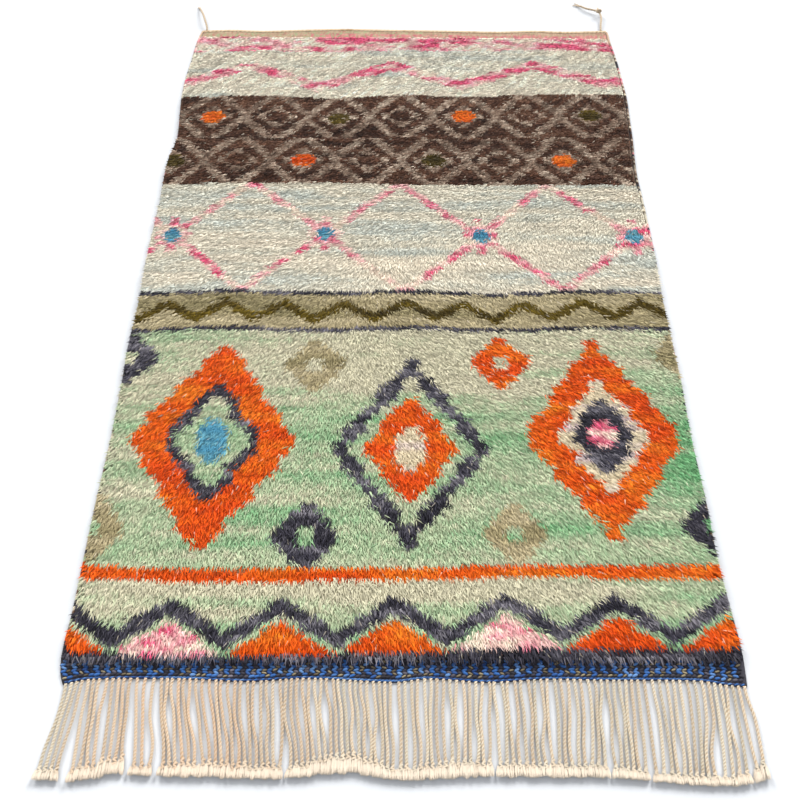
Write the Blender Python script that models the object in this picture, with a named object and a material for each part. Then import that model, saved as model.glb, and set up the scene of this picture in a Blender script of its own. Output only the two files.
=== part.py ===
"""Hand-knotted wool pile rug, lying flat: woven ground, pile, a flat-woven band at each end,
corded sides, a heading cord with a loose tie at each corner, and a long knotted fringe.

Metres, +Z up, floor at z = 0. +Y runs up the rug, from the fringe to the head. The origin is
on the floor, below the middle of the rug with its fringe and without its ties.
"""

import math
import random

import bmesh
import bpy
from mathutils import Vector


# The woven ground, and what is knotted, woven and corded to it
CLOTH_THICK = 0.004
BAND_THICK = 0.0035
PILE_TOP = 0.0235
PILE_RIM_TOP = 0.0165
PILE_LUMP = 0.0020
PILE_LEAN = 0.008
SELVEDGE_RADIUS = 0.004
HEADING_RADIUS = 0.005
TIE_RADIUS = 0.004
SEAT_GAP = 0.0003

# Where the pile starts and stops, on the centre line and by the slope of its head edge
PILE_FOOT_Y = -1.072
PILE_HEAD_Y = 1.283
PILE_HEAD_SLOPE = -0.009
PILE_SIDE_INSET = 0.0115
GROUND_MARGIN = 0.0025
SIDE_STEPS = 50

# Fringe strands: two-ply cords, each knotted and then brushed out
STRAND_WIDTH = 0.0075
STRAND_HEIGHT = 0.0065
KNOT_WIDTH = 0.0095
KNOT_HEIGHT = 0.009
TUFT_WIDEST = 0.0140
TUFT_HEIGHT = 0.0025
TUFT_GAP = 0.0009
STRIP_DEPTH = 0.005
STRIP_HEIGHT = 0.0055
STRIP_GAP = 0.0007

# The uneven sides of the rug: height up the rug, left edge, right edge
SIDE_EDGES = (
    (-1.139, -0.7435, 0.7440),
    (-1.111, -0.7555, 0.7465),
    (-1.053, -0.7635, 0.7495),
    (-0.981, -0.7595, 0.7460),
    (-0.829, -0.7595, 0.7390),
    (-0.664, -0.7595, 0.7410),
    (-0.484, -0.7565, 0.7380),
    (-0.288, -0.7590, 0.7430),
    (-0.183, -0.7630, 0.7415),
    (0.004, -0.7595, 0.7405),
    (0.165, -0.7645, 0.7455),
    (0.428, -0.7615, 0.7455),
    (0.522, -0.7650, 0.7430),
    (0.619, -0.7635, 0.7475),
    (0.720, -0.7490, 0.7550),
    (0.825, -0.7555, 0.7595),
    (0.934, -0.7635, 0.7650),
    (1.048, -0.7640, 0.7625),
    (1.154, -0.7570, 0.7590),
    (1.277, -0.7505, 0.7495),
    (1.327, -0.7430, 0.7480),
    (1.353, -0.7350, 0.7370),
)

# The outer edge of the heading cord: place across the rug, height up the rug
HEAD_EDGE = (
    (-0.740, 1.342),
    (-0.630, 1.347),
    (-0.510, 1.341),
    (-0.390, 1.347),
    (-0.230, 1.353),
    (-0.040, 1.347),
    (0.180, 1.341),
    (0.340, 1.335),
    (0.470, 1.341),
    (0.590, 1.335),
    (0.740, 1.340),
)

# The lower edge of the foot band, which droops at both corners
FOOT_EDGE = (
    (-0.745, -1.134),
    (-0.680, -1.122),
    (-0.480, -1.121),
    (-0.340, -1.127),
    (-0.210, -1.120),
    (-0.020, -1.129),
    (0.050, -1.121),
    (0.180, -1.129),
    (0.310, -1.122),
    (0.440, -1.124),
    (0.640, -1.126),
    (0.700, -1.136),
    (0.745, -1.139),
)

# The line of the fringe's knots, and the line of its brushed tips
KNOT_LINE = (
    (-0.765, -1.318),
    (-0.690, -1.314),
    (-0.590, -1.294),
    (-0.545, -1.309),
    (-0.460, -1.303),
    (-0.240, -1.309),
    (-0.125, -1.287),
    (-0.030, -1.312),
    (0.100, -1.303),
    (0.410, -1.309),
    (0.500, -1.322),
    (0.600, -1.328),
    (0.690, -1.326),
    (0.745, -1.306),
)
TIP_LINE = (
    (-0.765, -1.341),
    (-0.680, -1.343),
    (-0.590, -1.330),
    (-0.460, -1.335),
    (-0.240, -1.337),
    (-0.125, -1.327),
    (-0.030, -1.340),
    (0.100, -1.337),
    (0.410, -1.336),
    (0.530, -1.344),
    (0.640, -1.353),
    (0.690, -1.350),
    (0.745, -1.341),
)

# How the strands fall together: strands, first root, last root, first knot, last knot
FRINGE_GROUPS = (
    (4, -0.739, -0.703, -0.757, -0.721),
    (8, -0.692, -0.599, -0.689, -0.589),
    (3, -0.584, -0.548, -0.562, -0.531),
    (6, -0.532, -0.470, -0.503, -0.438),
    (14, -0.456, -0.273, -0.419, -0.260),
    (10, -0.260, -0.146, -0.238, -0.131),
    (9, -0.133, -0.032, -0.119, -0.026),
    (2, -0.014, 0.000, -0.010, 0.003),
    (13, 0.014, 0.182, 0.018, 0.176),
    (17, 0.195, 0.426, 0.198, 0.414),
    (6, 0.441, 0.507, 0.436, 0.497),
    (2, 0.522, 0.538, 0.518, 0.533),
    (8, 0.554, 0.660, 0.551, 0.638),
    (4, 0.674, 0.710, 0.660, 0.705),
    (2, 0.724, 0.738, 0.727, 0.742),
)

# One strand from its root to its tip: reach (0 root, 1 knot, 2 tip), whose size it takes,
# and its shares of that width and height
STRAND_STATIONS = (
    (0.05, "strand", 1.0, 1.0),
    (0.38, "strand", 1.0, 1.0),
    (0.70, "strand", 1.0, 1.0),
    (0.95, "strand", 1.0, 1.0),
    (1.05, "knot", 1.0, 1.0),
    (1.30, "strand", 0.95, 0.75),
    (2.00, "tuft", 1.0, 1.0),
)

# The ties' routes along the floor, from the corners of the heading cord: across, up the rug
LEFT_TIE = (
    (-0.7230, 1.3435),
    (-0.7242, 1.3560),
    (-0.7285, 1.3730),
    (-0.7350, 1.3930),
    (-0.7440, 1.4250),
    (-0.7575, 1.4620),
    (-0.7665, 1.4860),
    (-0.7720, 1.4990),
)
RIGHT_TIE = (
    (0.7240, 1.3402),
    (0.7248, 1.3540),
    (0.7268, 1.3730),
    (0.7310, 1.3980),
    (0.7330, 1.4260),
    (0.7290, 1.4480),
    (0.7170, 1.4610),
    (0.7030, 1.4690),
    (0.6820, 1.4810),
    (0.6640, 1.5000),
    (0.6520, 1.5110),
    (0.6420, 1.5170),
)
TIE_STEP = 0.011
TIE_KNOT_AT = 0.52
TIE_KNOT_HALF = 0.011
TIE_KNOT_SWELL = 0.8


def clear_scene():
    for thing in list(bpy.data.objects):
        bpy.data.objects.remove(thing, do_unlink=True)


def yarn_material(name, colour, roughness=0.9):
    material = bpy.data.materials.new(name)
    material.use_nodes = True
    shader = material.node_tree.nodes["Principled BSDF"]
    shader.inputs["Base Color"].default_value = (*colour, 1.0)
    shader.inputs["Roughness"].default_value = roughness
    shader.inputs["Metallic"].default_value = 0.0
    return material


def along(table, place, column=1):
    """Read a column of a table at a place, on a smooth curve through its rows."""
    last = len(table) - 1
    if place <= table[0][0]:
        return table[0][column]
    if place >= table[last][0]:
        return table[last][column]
    row = 0
    while table[row + 1][0] < place:
        row += 1
    before = table[max(row - 1, 0)]
    start = table[row]
    end = table[row + 1]
    after = table[min(row + 2, last)]
    span = end[0] - start[0]
    t = (place - start[0]) / span
    slope_in = (end[column] - before[column]) / (end[0] - before[0]) * span
    slope_out = (after[column] - start[column]) / (after[0] - start[0]) * span
    return ((2 * t**3 - 3 * t**2 + 1) * start[column]
            + (t**3 - 2 * t**2 + t) * slope_in
            + (3 * t**2 - 2 * t**3) * end[column]
            + (t**3 - t**2) * slope_out)


def left_edge(y):
    return along(SIDE_EDGES, y, 1)


def right_edge(y):
    return along(SIDE_EDGES, y, 2)


def pile_head(x):
    return PILE_HEAD_Y + PILE_HEAD_SLOPE * x


def mix(a, b, t):
    return a + (b - a) * t


def side_stations(edge, margin):
    """Places up one side of the knotted part, shared by all that lies along that side."""
    foot = PILE_FOOT_Y - margin
    head = pile_head(edge(PILE_HEAD_Y)) + margin
    return [mix(foot, head, step / SIDE_STEPS) for step in range(SIDE_STEPS + 1)]


def field_point(row, share, margin, inset):
    """A point of the knotted part: a row up the sides, and a share of the way across."""
    left_y = side_stations(left_edge, margin)[row]
    right_y = side_stations(right_edge, margin)[row]
    left_x = left_edge(left_y) + inset
    right_x = right_edge(right_y) - inset
    return mix(left_x, right_x, share), mix(left_y, right_y, share)


def mesh_object(name, vertices, faces, material, smooth_angle=50):
    mesh = bpy.data.meshes.new(name)
    mesh.from_pydata(vertices, [], faces)
    shape = bmesh.new()
    shape.from_mesh(mesh)
    bmesh.ops.recalc_face_normals(shape, faces=shape.faces)
    shape.to_mesh(mesh)
    shape.free()
    mesh.shade_smooth()
    mesh.set_sharp_from_angle(angle=math.radians(smooth_angle))
    mesh.materials.append(material)
    thing = bpy.data.objects.new(name, mesh)
    bpy.context.scene.collection.objects.link(thing)
    return thing


def woven_strip(name, columns, profile, place, material):
    """A flat strip, level below. profile lists its top across the strip: share, height.

    place(t, share) gives the point at t along the strip, as x and y.
    """
    ring = len(profile) + 2
    vertices = []
    for column in range(columns + 1):
        t = column / columns
        near = place(t, profile[0][0])
        far = place(t, profile[-1][0])
        vertices.append((*near, 0.0))
        vertices.extend((*place(t, share), height) for share, height in profile)
        vertices.append((*far, 0.0))
    faces = []
    for column in range(columns):
        here = column * ring
        there = here + ring
        for step in range(ring):
            onward = (step + 1) % ring
            faces.append((here + step, there + step, there + onward, here + onward))
    faces.append(tuple(range(ring)))
    faces.append(tuple(reversed(range(columns * ring, columns * ring + ring))))
    return mesh_object(name, vertices, faces, material)


def even(t):
    return 1.0


def rope(name, route, radius, material, swell=even):
    """A plain round cord through the route's points. swell(t) widens it at t along it."""
    curve = bpy.data.curves.new(name, "CURVE")
    curve.dimensions = "3D"
    curve.bevel_depth = radius
    curve.bevel_resolution = 2
    curve.use_fill_caps = True
    spline = curve.splines.new("POLY")
    spline.points.add(len(route) - 1)
    for index, point in enumerate(route):
        spline.points[index].co = (*point, 1.0)
        spline.points[index].radius = swell(index / (len(route) - 1))
    spline.use_smooth = True
    curve.materials.append(material)
    thing = bpy.data.objects.new(name, curve)
    bpy.context.scene.collection.objects.link(thing)
    return thing


def smooth_route(points, step):
    """Points about a step apart on one smooth curve through the given points."""
    lengths = [0.0]
    for before, after in zip(points, points[1:]):
        lengths.append(lengths[-1] + math.dist(before, after))
    table = [(run, *point) for run, point in zip(lengths, points)]
    count = max(2, round(lengths[-1] / step))
    places = [lengths[-1] * index / count for index in range(count + 1)]
    return [(along(table, place, 1), along(table, place, 2)) for place in places]


def ground_cloth(material):
    """The woven ground that the pile is knotted into, between the two flat-woven bands."""
    inset = 2 * SELVEDGE_RADIUS + SEAT_GAP

    def place(t, share):
        return field_point(round(t * SIDE_STEPS), share, GROUND_MARGIN, inset)

    profile = [(0.0, CLOTH_THICK), (0.5, CLOTH_THICK), (1.0, CLOTH_THICK)]
    return woven_strip("ground_cloth", SIDE_STEPS, profile, place, material)


def pile_field(material):
    """The cut pile: a lumpy slab on the ground cloth, with pointed locks all round its rim."""
    columns = 30
    rows = SIDE_STEPS
    floor = CLOTH_THICK + SEAT_GAP
    foot_reach = 0.026
    side_reach = 0.0095
    head_reach = 0.003
    lock_lean = 0.010
    lock_height = 0.0095
    side_lock_height = 0.0130
    seed = random.Random(7)

    def base(share, row):
        return field_point(row, share, 0.0, PILE_SIDE_INSET)

    vertices = []
    faces = []

    def add(point):
        vertices.append(point)
        return len(vertices) - 1

    # The top, with its rim a little lower and the whole nap leaning to the foot
    top = {}
    for row in range(rows + 1):
        for column in range(columns + 1):
            x, y = base(column / columns, row)
            rim = row in (0, rows) or column in (0, columns)
            lump = seed.uniform(-PILE_LUMP, PILE_LUMP)
            height = PILE_RIM_TOP if rim else PILE_TOP + lump
            top[column, row] = add((x, y - PILE_LEAN, height))

    # The rim's corners and the middles of the foot's cells, once round, against the clock
    rim = []
    for column in range(columns):
        rim.append((top[column, 0], base(column / columns, 0)))
        x, y = base((column + 0.5) / columns, 0)
        first = Vector(vertices[top[column, 0]])
        second = Vector(vertices[top[column + 1, 0]])
        rim.append((add(tuple((first + second) / 2)), (x, y)))
    rim += [(top[columns, row], base(1, row)) for row in range(rows)]
    rim += [(top[column, rows], base(column / columns, rows)) for column in range(columns, 0, -1)]
    rim += [(top[0, row], base(0, row)) for row in range(rows, 0, -1)]

    for row in range(rows):
        for column in range(columns):
            corners = [top[column, row], top[column + 1, row]]
            corners += [top[column + 1, row + 1], top[column, row + 1]]
            if row == 0:
                corners.insert(1, rim[2 * column + 1][0])
            faces.append(tuple(corners))

    # Each stretch of the rim's wall is drawn out to the point of a lock
    below = [add((x, y, floor)) for _, (x, y) in rim]
    foot_locks = 2 * columns
    side_locks = rows
    for index, (upper, place) in enumerate(rim):
        following = (index + 1) % len(rim)
        upper_next, place_next = rim[following]
        middle_x = (place[0] + place_next[0]) / 2
        middle_y = (place[1] + place_next[1]) / 2
        uneven = seed.uniform(0.75, 1.0)
        if index < foot_locks:
            tip = (middle_x, middle_y - foot_reach * uneven, lock_height)
        elif index < foot_locks + side_locks:
            tip = (middle_x + side_reach * uneven, middle_y - lock_lean, side_lock_height)
        elif index < foot_locks + side_locks + columns:
            tip = (middle_x, middle_y + head_reach * uneven, lock_height)
        else:
            tip = (middle_x - side_reach * uneven, middle_y - lock_lean, side_lock_height)
        point = add(tip)
        for start, end in ((below[index], below[following]), (below[following], upper_next),
                           (upper_next, upper), (upper, below[index])):
            faces.append((start, end, point))
    faces.append(tuple(reversed(below)))
    return mesh_object("pile_field", vertices, faces, material)


def foot_band(material):
    """The twined band at the foot, in raised rows, with its cord edge along the fringe."""
    columns = 56
    ridges = 4
    ridge_height = 0.0016
    cord_rise = 0.0009
    steps = 12
    plain_share = 0.78
    top = PILE_FOOT_Y - GROUND_MARGIN - SEAT_GAP

    def place(t, share):
        x = mix(SIDE_EDGES[0][1], SIDE_EDGES[0][2], t)
        y = mix(along(FOOT_EDGE, x), top, share)
        return mix(left_edge(y), right_edge(y), t), y

    profile = []
    for step in range(steps + 1):
        share = step / steps * plain_share
        ridge = 0.5 - 0.5 * math.cos(2 * math.pi * ridges * share / plain_share)
        cord = cord_rise if share < plain_share / ridges else 0.0
        profile.append((share, BAND_THICK + (ridge_height + cord) * ridge))
    profile.append((1.0, BAND_THICK))
    return woven_strip("foot_band", columns, profile, place, material)


def head_band(material):
    """The plain-woven band between the pile and the heading cord."""
    columns = 48
    inset = 2 * SELVEDGE_RADIUS + 3 * SEAT_GAP

    def place(t, share):
        x = mix(SIDE_EDGES[-1][1], SIDE_EDGES[-1][2], t)
        low = pile_head(x) + GROUND_MARGIN + SEAT_GAP
        high = along(HEAD_EDGE, x) - 2 * HEADING_RADIUS - SEAT_GAP
        y = mix(low, high, share)
        return mix(left_edge(y) + inset, right_edge(y) - inset, t), y

    profile = [(0.0, CLOTH_THICK), (0.33, CLOTH_THICK), (0.66, CLOTH_THICK), (1.0, CLOTH_THICK)]
    return woven_strip("head_band", columns, profile, place, material)


def heading_cord(material):
    """The twined cord that closes the head edge, where the warps turn."""
    steps = 56
    start = SIDE_EDGES[-1][1] - 0.002
    end = SIDE_EDGES[-1][2] + 0.002
    route = []
    for step in range(steps + 1):
        x = mix(start, end, step / steps)
        route.append((x, along(HEAD_EDGE, x) - HEADING_RADIUS, HEADING_RADIUS))
    return rope("heading_cord", route, HEADING_RADIUS, material)


def selvedge(side, edge, inward, material):
    """The overcast cord along one side, from the foot band to the heading cord."""
    band_steps = 3
    stations = side_stations(edge, GROUND_MARGIN)
    low = stations[-1]
    high = along(HEAD_EDGE, edge(SIDE_EDGES[-2][0])) - 2 * HEADING_RADIUS - 2 * SEAT_GAP
    stations += [mix(low, high, (step + 1) / band_steps) for step in range(band_steps)]
    route = [(edge(y) + inward * SELVEDGE_RADIUS, y, SELVEDGE_RADIUS) for y in stations]
    return rope("selvedge_" + side, route, SELVEDGE_RADIUS, material)


def keep_apart(places, room):
    """Move each strand on until it is clear of the one before it."""
    spaced = [places[0]]
    for place in places[1:]:
        spaced.append(max(place, spaced[-1] + room))
    return spaced


def strand_places():
    """The roots and the knots of all strands, from left to right."""
    seed = random.Random(11)
    sway = 0.0009
    roots = []
    knots = []
    for count, root_first, root_last, knot_first, knot_last in FRINGE_GROUPS:
        for index in range(count):
            t = index / (count - 1)
            roots.append(mix(root_first, root_last, t) + seed.uniform(-sway, sway))
            knots.append(mix(knot_first, knot_last, t) + seed.uniform(-sway, sway))
    room = STRAND_WIDTH + 2 * TUFT_GAP
    return keep_apart(roots, room), keep_apart(knots, room)


def fringe(material):
    """Two-ply warp ends on one narrow strip. They rest level on the floor and stand apart."""
    roots, knots = strand_places()
    count = len(roots)
    narrow_top = 0.62
    bend_start = 0.10
    vertices = []
    faces = []

    def add(point):
        vertices.append(point)
        return len(vertices) - 1

    # The strip: its face has one opening for each strand's root
    cuts = []
    for root in roots:
        cuts += [root - STRAND_WIDTH / 2, root + STRAND_WIDTH / 2]
    rings = []
    for x in cuts:
        back = along(FOOT_EDGE, x) - STRIP_GAP
        front = back - STRIP_DEPTH
        rings.append([add((x, back, 0.0)), add((x, back, STRIP_HEIGHT)),
                      add((x, front, STRIP_HEIGHT)), add((x, front, 0.0))])
    for index, (here, there) in enumerate(zip(rings, rings[1:])):
        for step in range(4):
            onward = (step + 1) % 4
            rooted = step == 2 and index % 2 == 0
            if not rooted:
                faces.append((here[step], there[step], there[onward], here[onward]))
    faces.append(tuple(rings[0]))
    faces.append(tuple(reversed(rings[-1])))

    # Each strand grows from its opening through its stations to the tip
    for index in range(count):
        root = roots[index]
        knot = knots[index]
        root_y = along(FOOT_EDGE, root) - STRIP_GAP - STRIP_DEPTH
        knot_y = along(KNOT_LINE, knot)
        tip_y = along(TIP_LINE, knot)
        before = knot - knots[index - 1] if index else TUFT_WIDEST
        after = knots[index + 1] - knot if index + 1 < count else TUFT_WIDEST
        room = min(before, after, TUFT_WIDEST) - TUFT_GAP
        sizes = {
            "strand": (STRAND_WIDTH, STRAND_HEIGHT),
            "knot": (min(KNOT_WIDTH, room), KNOT_HEIGHT),
            "tuft": (room, TUFT_HEIGHT),
        }
        left, right = rings[2 * index], rings[2 * index + 1]
        last = [left[3], right[3], right[2], left[2]]
        for reach, kind, width_share, height_share in STRAND_STATIONS:
            width = sizes[kind][0] * width_share
            height = sizes[kind][1] * height_share
            if reach <= 1:
                t = max(0.0, (reach - bend_start) / (1 - bend_start))
                x = mix(root, knot, t * t * (3 - 2 * t))
                y = mix(root_y, knot_y, reach)
            else:
                x = knot
                y = mix(knot_y, tip_y, reach - 1)
            half = width / 2
            top_half = half * (1.0 if kind == "tuft" else narrow_top)
            station = [add((x - half, y, 0.0)), add((x + half, y, 0.0)),
                       add((x + top_half, y, height)), add((x - top_half, y, height))]
            for step in range(4):
                onward = (step + 1) % 4
                faces.append((last[step], last[onward], station[onward], station[step]))
            last = station
        faces.append(tuple(last))
    return mesh_object("fringe", vertices, faces, material, smooth_angle=35)


def corner_tie(side, points, material, knotted):
    """A free end of the heading cord, lying on the floor. The right one has a knot in it."""
    flat = smooth_route(points, TIE_STEP)
    length = sum(math.dist(a, b) for a, b in zip(flat, flat[1:]))

    def swell(t):
        away = abs(t - TIE_KNOT_AT) * length / TIE_KNOT_HALF
        return 1.0 + TIE_KNOT_SWELL * max(0.0, 1.0 - away) * knotted

    last = len(flat) - 1
    route = [(x, y, TIE_RADIUS * swell(index / last)) for index, (x, y) in enumerate(flat)]
    return rope("corner_tie_" + side, route, TIE_RADIUS, material, swell)


clear_scene()

wool_back = yarn_material("ground wool", (0.72, 0.66, 0.52))
wool_pile = yarn_material("pile wool", (0.58, 0.66, 0.46))
band_wool = yarn_material("twined band wool", (0.05, 0.12, 0.30))
plain_wool = yarn_material("plain band wool", (0.70, 0.60, 0.45))
side_wool = yarn_material("overcast side wool", (0.06, 0.06, 0.08))
warp_cotton = yarn_material("warp cord", (0.78, 0.66, 0.50), 0.8)

ground_cloth(wool_back)
pile_field(wool_pile)
foot_band(band_wool)
head_band(plain_wool)
heading_cord(warp_cotton)
selvedge("left", left_edge, 1, side_wool)
selvedge("right", right_edge, -1, side_wool)
fringe(warp_cotton)
corner_tie("left", LEFT_TIE, warp_cotton, knotted=False)
corner_tie("right", RIGHT_TIE, warp_cotton, knotted=True)
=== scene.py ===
import math
import random
import bpy
import numpy as np
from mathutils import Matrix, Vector


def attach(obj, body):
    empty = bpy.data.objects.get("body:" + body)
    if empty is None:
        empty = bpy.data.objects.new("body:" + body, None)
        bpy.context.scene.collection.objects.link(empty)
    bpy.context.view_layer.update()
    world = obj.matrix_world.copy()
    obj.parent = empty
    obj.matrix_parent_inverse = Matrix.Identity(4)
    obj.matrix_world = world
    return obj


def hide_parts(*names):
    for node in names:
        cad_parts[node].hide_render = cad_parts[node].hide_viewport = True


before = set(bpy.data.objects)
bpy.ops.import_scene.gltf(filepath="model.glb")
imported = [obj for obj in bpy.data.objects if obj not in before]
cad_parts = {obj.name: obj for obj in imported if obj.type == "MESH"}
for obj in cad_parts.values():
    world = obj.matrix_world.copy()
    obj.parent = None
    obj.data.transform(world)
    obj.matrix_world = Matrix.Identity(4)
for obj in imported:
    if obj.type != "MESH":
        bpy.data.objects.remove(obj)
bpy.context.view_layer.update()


# The view
# The rug lies flat on a pale floor. It is seen from past its fringe and from above, so its
# sides run together towards the head.
VIEW_FILM = 36.0
VIEW_LENS = 44.73
VIEW_SHIFT = -0.0019
VIEW_PLACE = (-0.008, -1.9413, 2.105)
VIEW_TILT = 37.0

view = bpy.data.cameras.new("view")
view.sensor_width = VIEW_FILM
view.lens = VIEW_LENS
view.shift_x = VIEW_SHIFT
view_stand = bpy.data.objects.new("view", view)
view_stand.location = VIEW_PLACE
view_stand.rotation_euler = (math.radians(VIEW_TILT), 0.0, 0.0)
bpy.context.scene.collection.objects.link(view_stand)
bpy.context.scene.camera = view_stand
bpy.context.scene.view_settings.view_transform = "Standard"


# The corner ties
# The heading cord's two free ends: soft two-ply cotton cords, about 8 mm thick, that arch a
# little off the floor past the rug's head. The right one is knotted halfway and turns back
# on itself, and at both tips the two plies have come apart.
TIE_RADIUS = 0.004
TIE_STEP = 0.0022
TIE_TURN = 0.023
TIE_SOFTNESS = 0.55
TIE_YARN = (204, 184, 158)
TIE_PLY_RADIUS = 0.0023
TIE_PLY_TURN = 0.016
TIE_PLY_APART = 0.0019
TIE_KNOT_AT = 0.595
TIE_KNOT_HALF = 0.013
TIE_KNOT_SWELL = 1.2
TIE_KNOT_HEIGHT = 0.0090
# The knot's turns: half as wide and as tall as they are, the yarn's radius, and each turn's
# tilt and its place along the cord
TIE_KNOT_SIZE = (0.0066, 0.0052, 0.0036)
TIE_KNOT_LOOPS = ((0.55, 0.0040), (-0.50, -0.0040))
LEFT_TIE = (
    (-0.7230, 1.3435),
    (-0.7242, 1.3560),
    (-0.7285, 1.3730),
    (-0.7350, 1.3930),
    (-0.7440, 1.4250),
    (-0.7575, 1.4620),
    (-0.7665, 1.4860),
    (-0.7720, 1.4990),
)
RIGHT_TIE = (
    (0.7240, 1.3402),
    (0.7248, 1.3540),
    (0.7268, 1.3730),
    (0.7310, 1.3980),
    (0.7330, 1.4260),
    (0.7290, 1.4480),
    (0.7170, 1.4610),
    (0.7030, 1.4690),
    (0.6820, 1.4810),
    (0.6640, 1.5000),
    (0.6520, 1.5110),
    (0.6420, 1.5170),
)
UP = np.array((0.0, 0.0, 1.0))


def mix(a, b, t):
    return a + (b - a) * t


def unit(arrows):
    return arrows / np.linalg.norm(arrows, axis=-1, keepdims=True)


def along(table, place, column=1):
    """Read a column of a table at one place or many, on a smooth curve through its rows."""
    rows = np.array(table, dtype=float)
    at, values = rows[:, 0], rows[:, column]
    last = len(rows) - 1
    before = np.maximum(np.arange(last + 1) - 1, 0)
    after = np.minimum(np.arange(last + 1) + 1, last)
    slopes = (values[after] - values[before]) / (at[after] - at[before])
    place = np.clip(place, at[0], at[last])
    start = np.clip(np.searchsorted(at, place) - 1, 0, last - 1)
    end = start + 1
    span = at[end] - at[start]
    t = (place - at[start]) / span
    return ((2 * t**3 - 3 * t**2 + 1) * values[start]
            + (t**3 - 2 * t**2 + t) * slopes[start] * span
            + (3 * t**2 - 2 * t**3) * values[end]
            + (t**3 - t**2) * slopes[end] * span)


def smooth_route(points, step):
    """Points about a step apart on one smooth curve through the given points."""
    lengths = [0.0]
    for before, after in zip(points, points[1:]):
        lengths.append(lengths[-1] + math.dist(before, after))
    table = [(run, *point) for run, point in zip(lengths, points)]
    places = np.linspace(0.0, lengths[-1], max(2, round(lengths[-1] / step)) + 1)
    return np.column_stack((along(table, places, 1), along(table, places, 2)))


def dyed(colour):
    """A colour as light mixes it, for a colour as it is written in a paint chart."""
    shade = np.asarray(colour, dtype=float) / 255
    return np.where(shade <= 0.04045, shade / 12.92, ((shade + 0.055) / 1.055) ** 2.4)


def grid(rows, columns):
    """Every cell of a grid: its row and its column, in two flat lists."""
    row, column = np.meshgrid(np.arange(rows), np.arange(columns), indexing="ij")
    return row.ravel(), column.ravel()


def tube_faces(rings, sides, cap=0.004):
    """A closed tube's walls and end fans, and the place of each of their corners.

    Its points go ring by ring, with the two ends' middles last.
    """
    ring, step = grid(rings - 1, sides)
    here = ring * sides + step
    beside = ring * sides + (step + 1) % sides
    walls = np.stack((here, beside, beside + sides, here + sides), axis=1)
    around = np.arange(sides)
    ahead = (around + 1) % sides
    middle = np.full(sides, rings * sides)
    top = (rings - 1) * sides
    ends = np.concatenate((
        np.stack((middle, ahead, around), axis=1),
        np.stack((middle + 1, top + around, top + ahead), axis=1),
    ))
    left, right = step / sides, (step + 1) / sides
    low = mix(cap, 1 - cap, ring / (rings - 1))
    high = mix(cap, 1 - cap, (ring + 1) / (rings - 1))
    wall_places = np.stack((left, low, right, low, right, high, left, high), axis=1)
    left, right = around / sides, (around + 1) / sides
    centre = mix(left, right, 0.5)
    foot, head = np.zeros(sides), np.ones(sides)
    end_places = np.concatenate((
        np.stack((centre, foot, right, foot + cap, left, foot + cap), axis=1),
        np.stack((centre, head, left, head - cap, right, head - cap), axis=1),
    ))
    return (walls, ends), (wall_places, end_places)


PLY_ANGLES = np.radians((-52.0, 0.0, 52.0, 90.0, 128.0, 180.0, 232.0, 270.0))
# How deep each ring point lies in the groove, for the painted shade there
PLY_GROOVE = np.tile((0.35, 0.0, 0.35, 1.0), 2)


def plied(route, radius, turn, start=0.0, flat=1.0, waist=0.60):
    """Two plies twisted round each other along a route, closed at both ends.

    Gives points, faces, each point's depth in the groove and each face corner's place.
    """
    route = np.asarray(route, dtype=float)
    radius = np.broadcast_to(np.asarray(radius, dtype=float), len(route))
    onward = unit(np.gradient(route, axis=0))
    side = unit(np.cross(UP, onward))
    lift = np.cross(onward, side)
    run = np.concatenate(([0.0], np.cumsum(np.linalg.norm(np.diff(route, axis=0), axis=1))))
    reach = np.tile((0.90, 1.0, 0.90, waist), 2)
    angle = PLY_ANGLES + start - 2 * math.pi * run[:, None] / turn
    across = (np.cos(angle) * reach * radius[:, None])[..., None] * side[:, None, :]
    upward = (np.sin(angle) * reach * radius[:, None] * flat)[..., None] * lift[:, None, :]
    rings = route[:, None, :] + across + upward
    points = np.concatenate((rings.reshape(-1, 3), route[:1], route[-1:]))
    faces, places = tube_faces(len(route), len(PLY_ANGLES))
    depth = np.concatenate((np.tile(PLY_GROOVE, len(route)), (0.5, 0.5)))
    return points, faces, depth, places


def cell(places, corner, size):
    """Face corners' places moved into one cell of a piece's flat map."""
    moved = places.reshape(len(places), -1, 2) * size + corner
    return moved.reshape(len(places), -1)


def joined(shapes):
    """Several shapes as one: points, faces of 3 and of 4 corners, colours and places."""
    points, colours, offset = [], [], 0
    faces = {3: [], 4: []}
    places = {3: [], 4: []}
    for shape_points, shape_faces, shape_colours, shape_places in shapes:
        for group, group_places in zip(shape_faces, shape_places):
            faces[group.shape[1]].append(group + offset)
            places[group.shape[1]].append(group_places)
        points.append(shape_points)
        colours.append(shape_colours)
        offset += len(shape_points)
    sizes = [size for size in faces if faces[size]]
    return (np.concatenate(points), [np.concatenate(faces[size]) for size in sizes],
            np.concatenate(colours), [np.concatenate(places[size]) for size in sizes])


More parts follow.
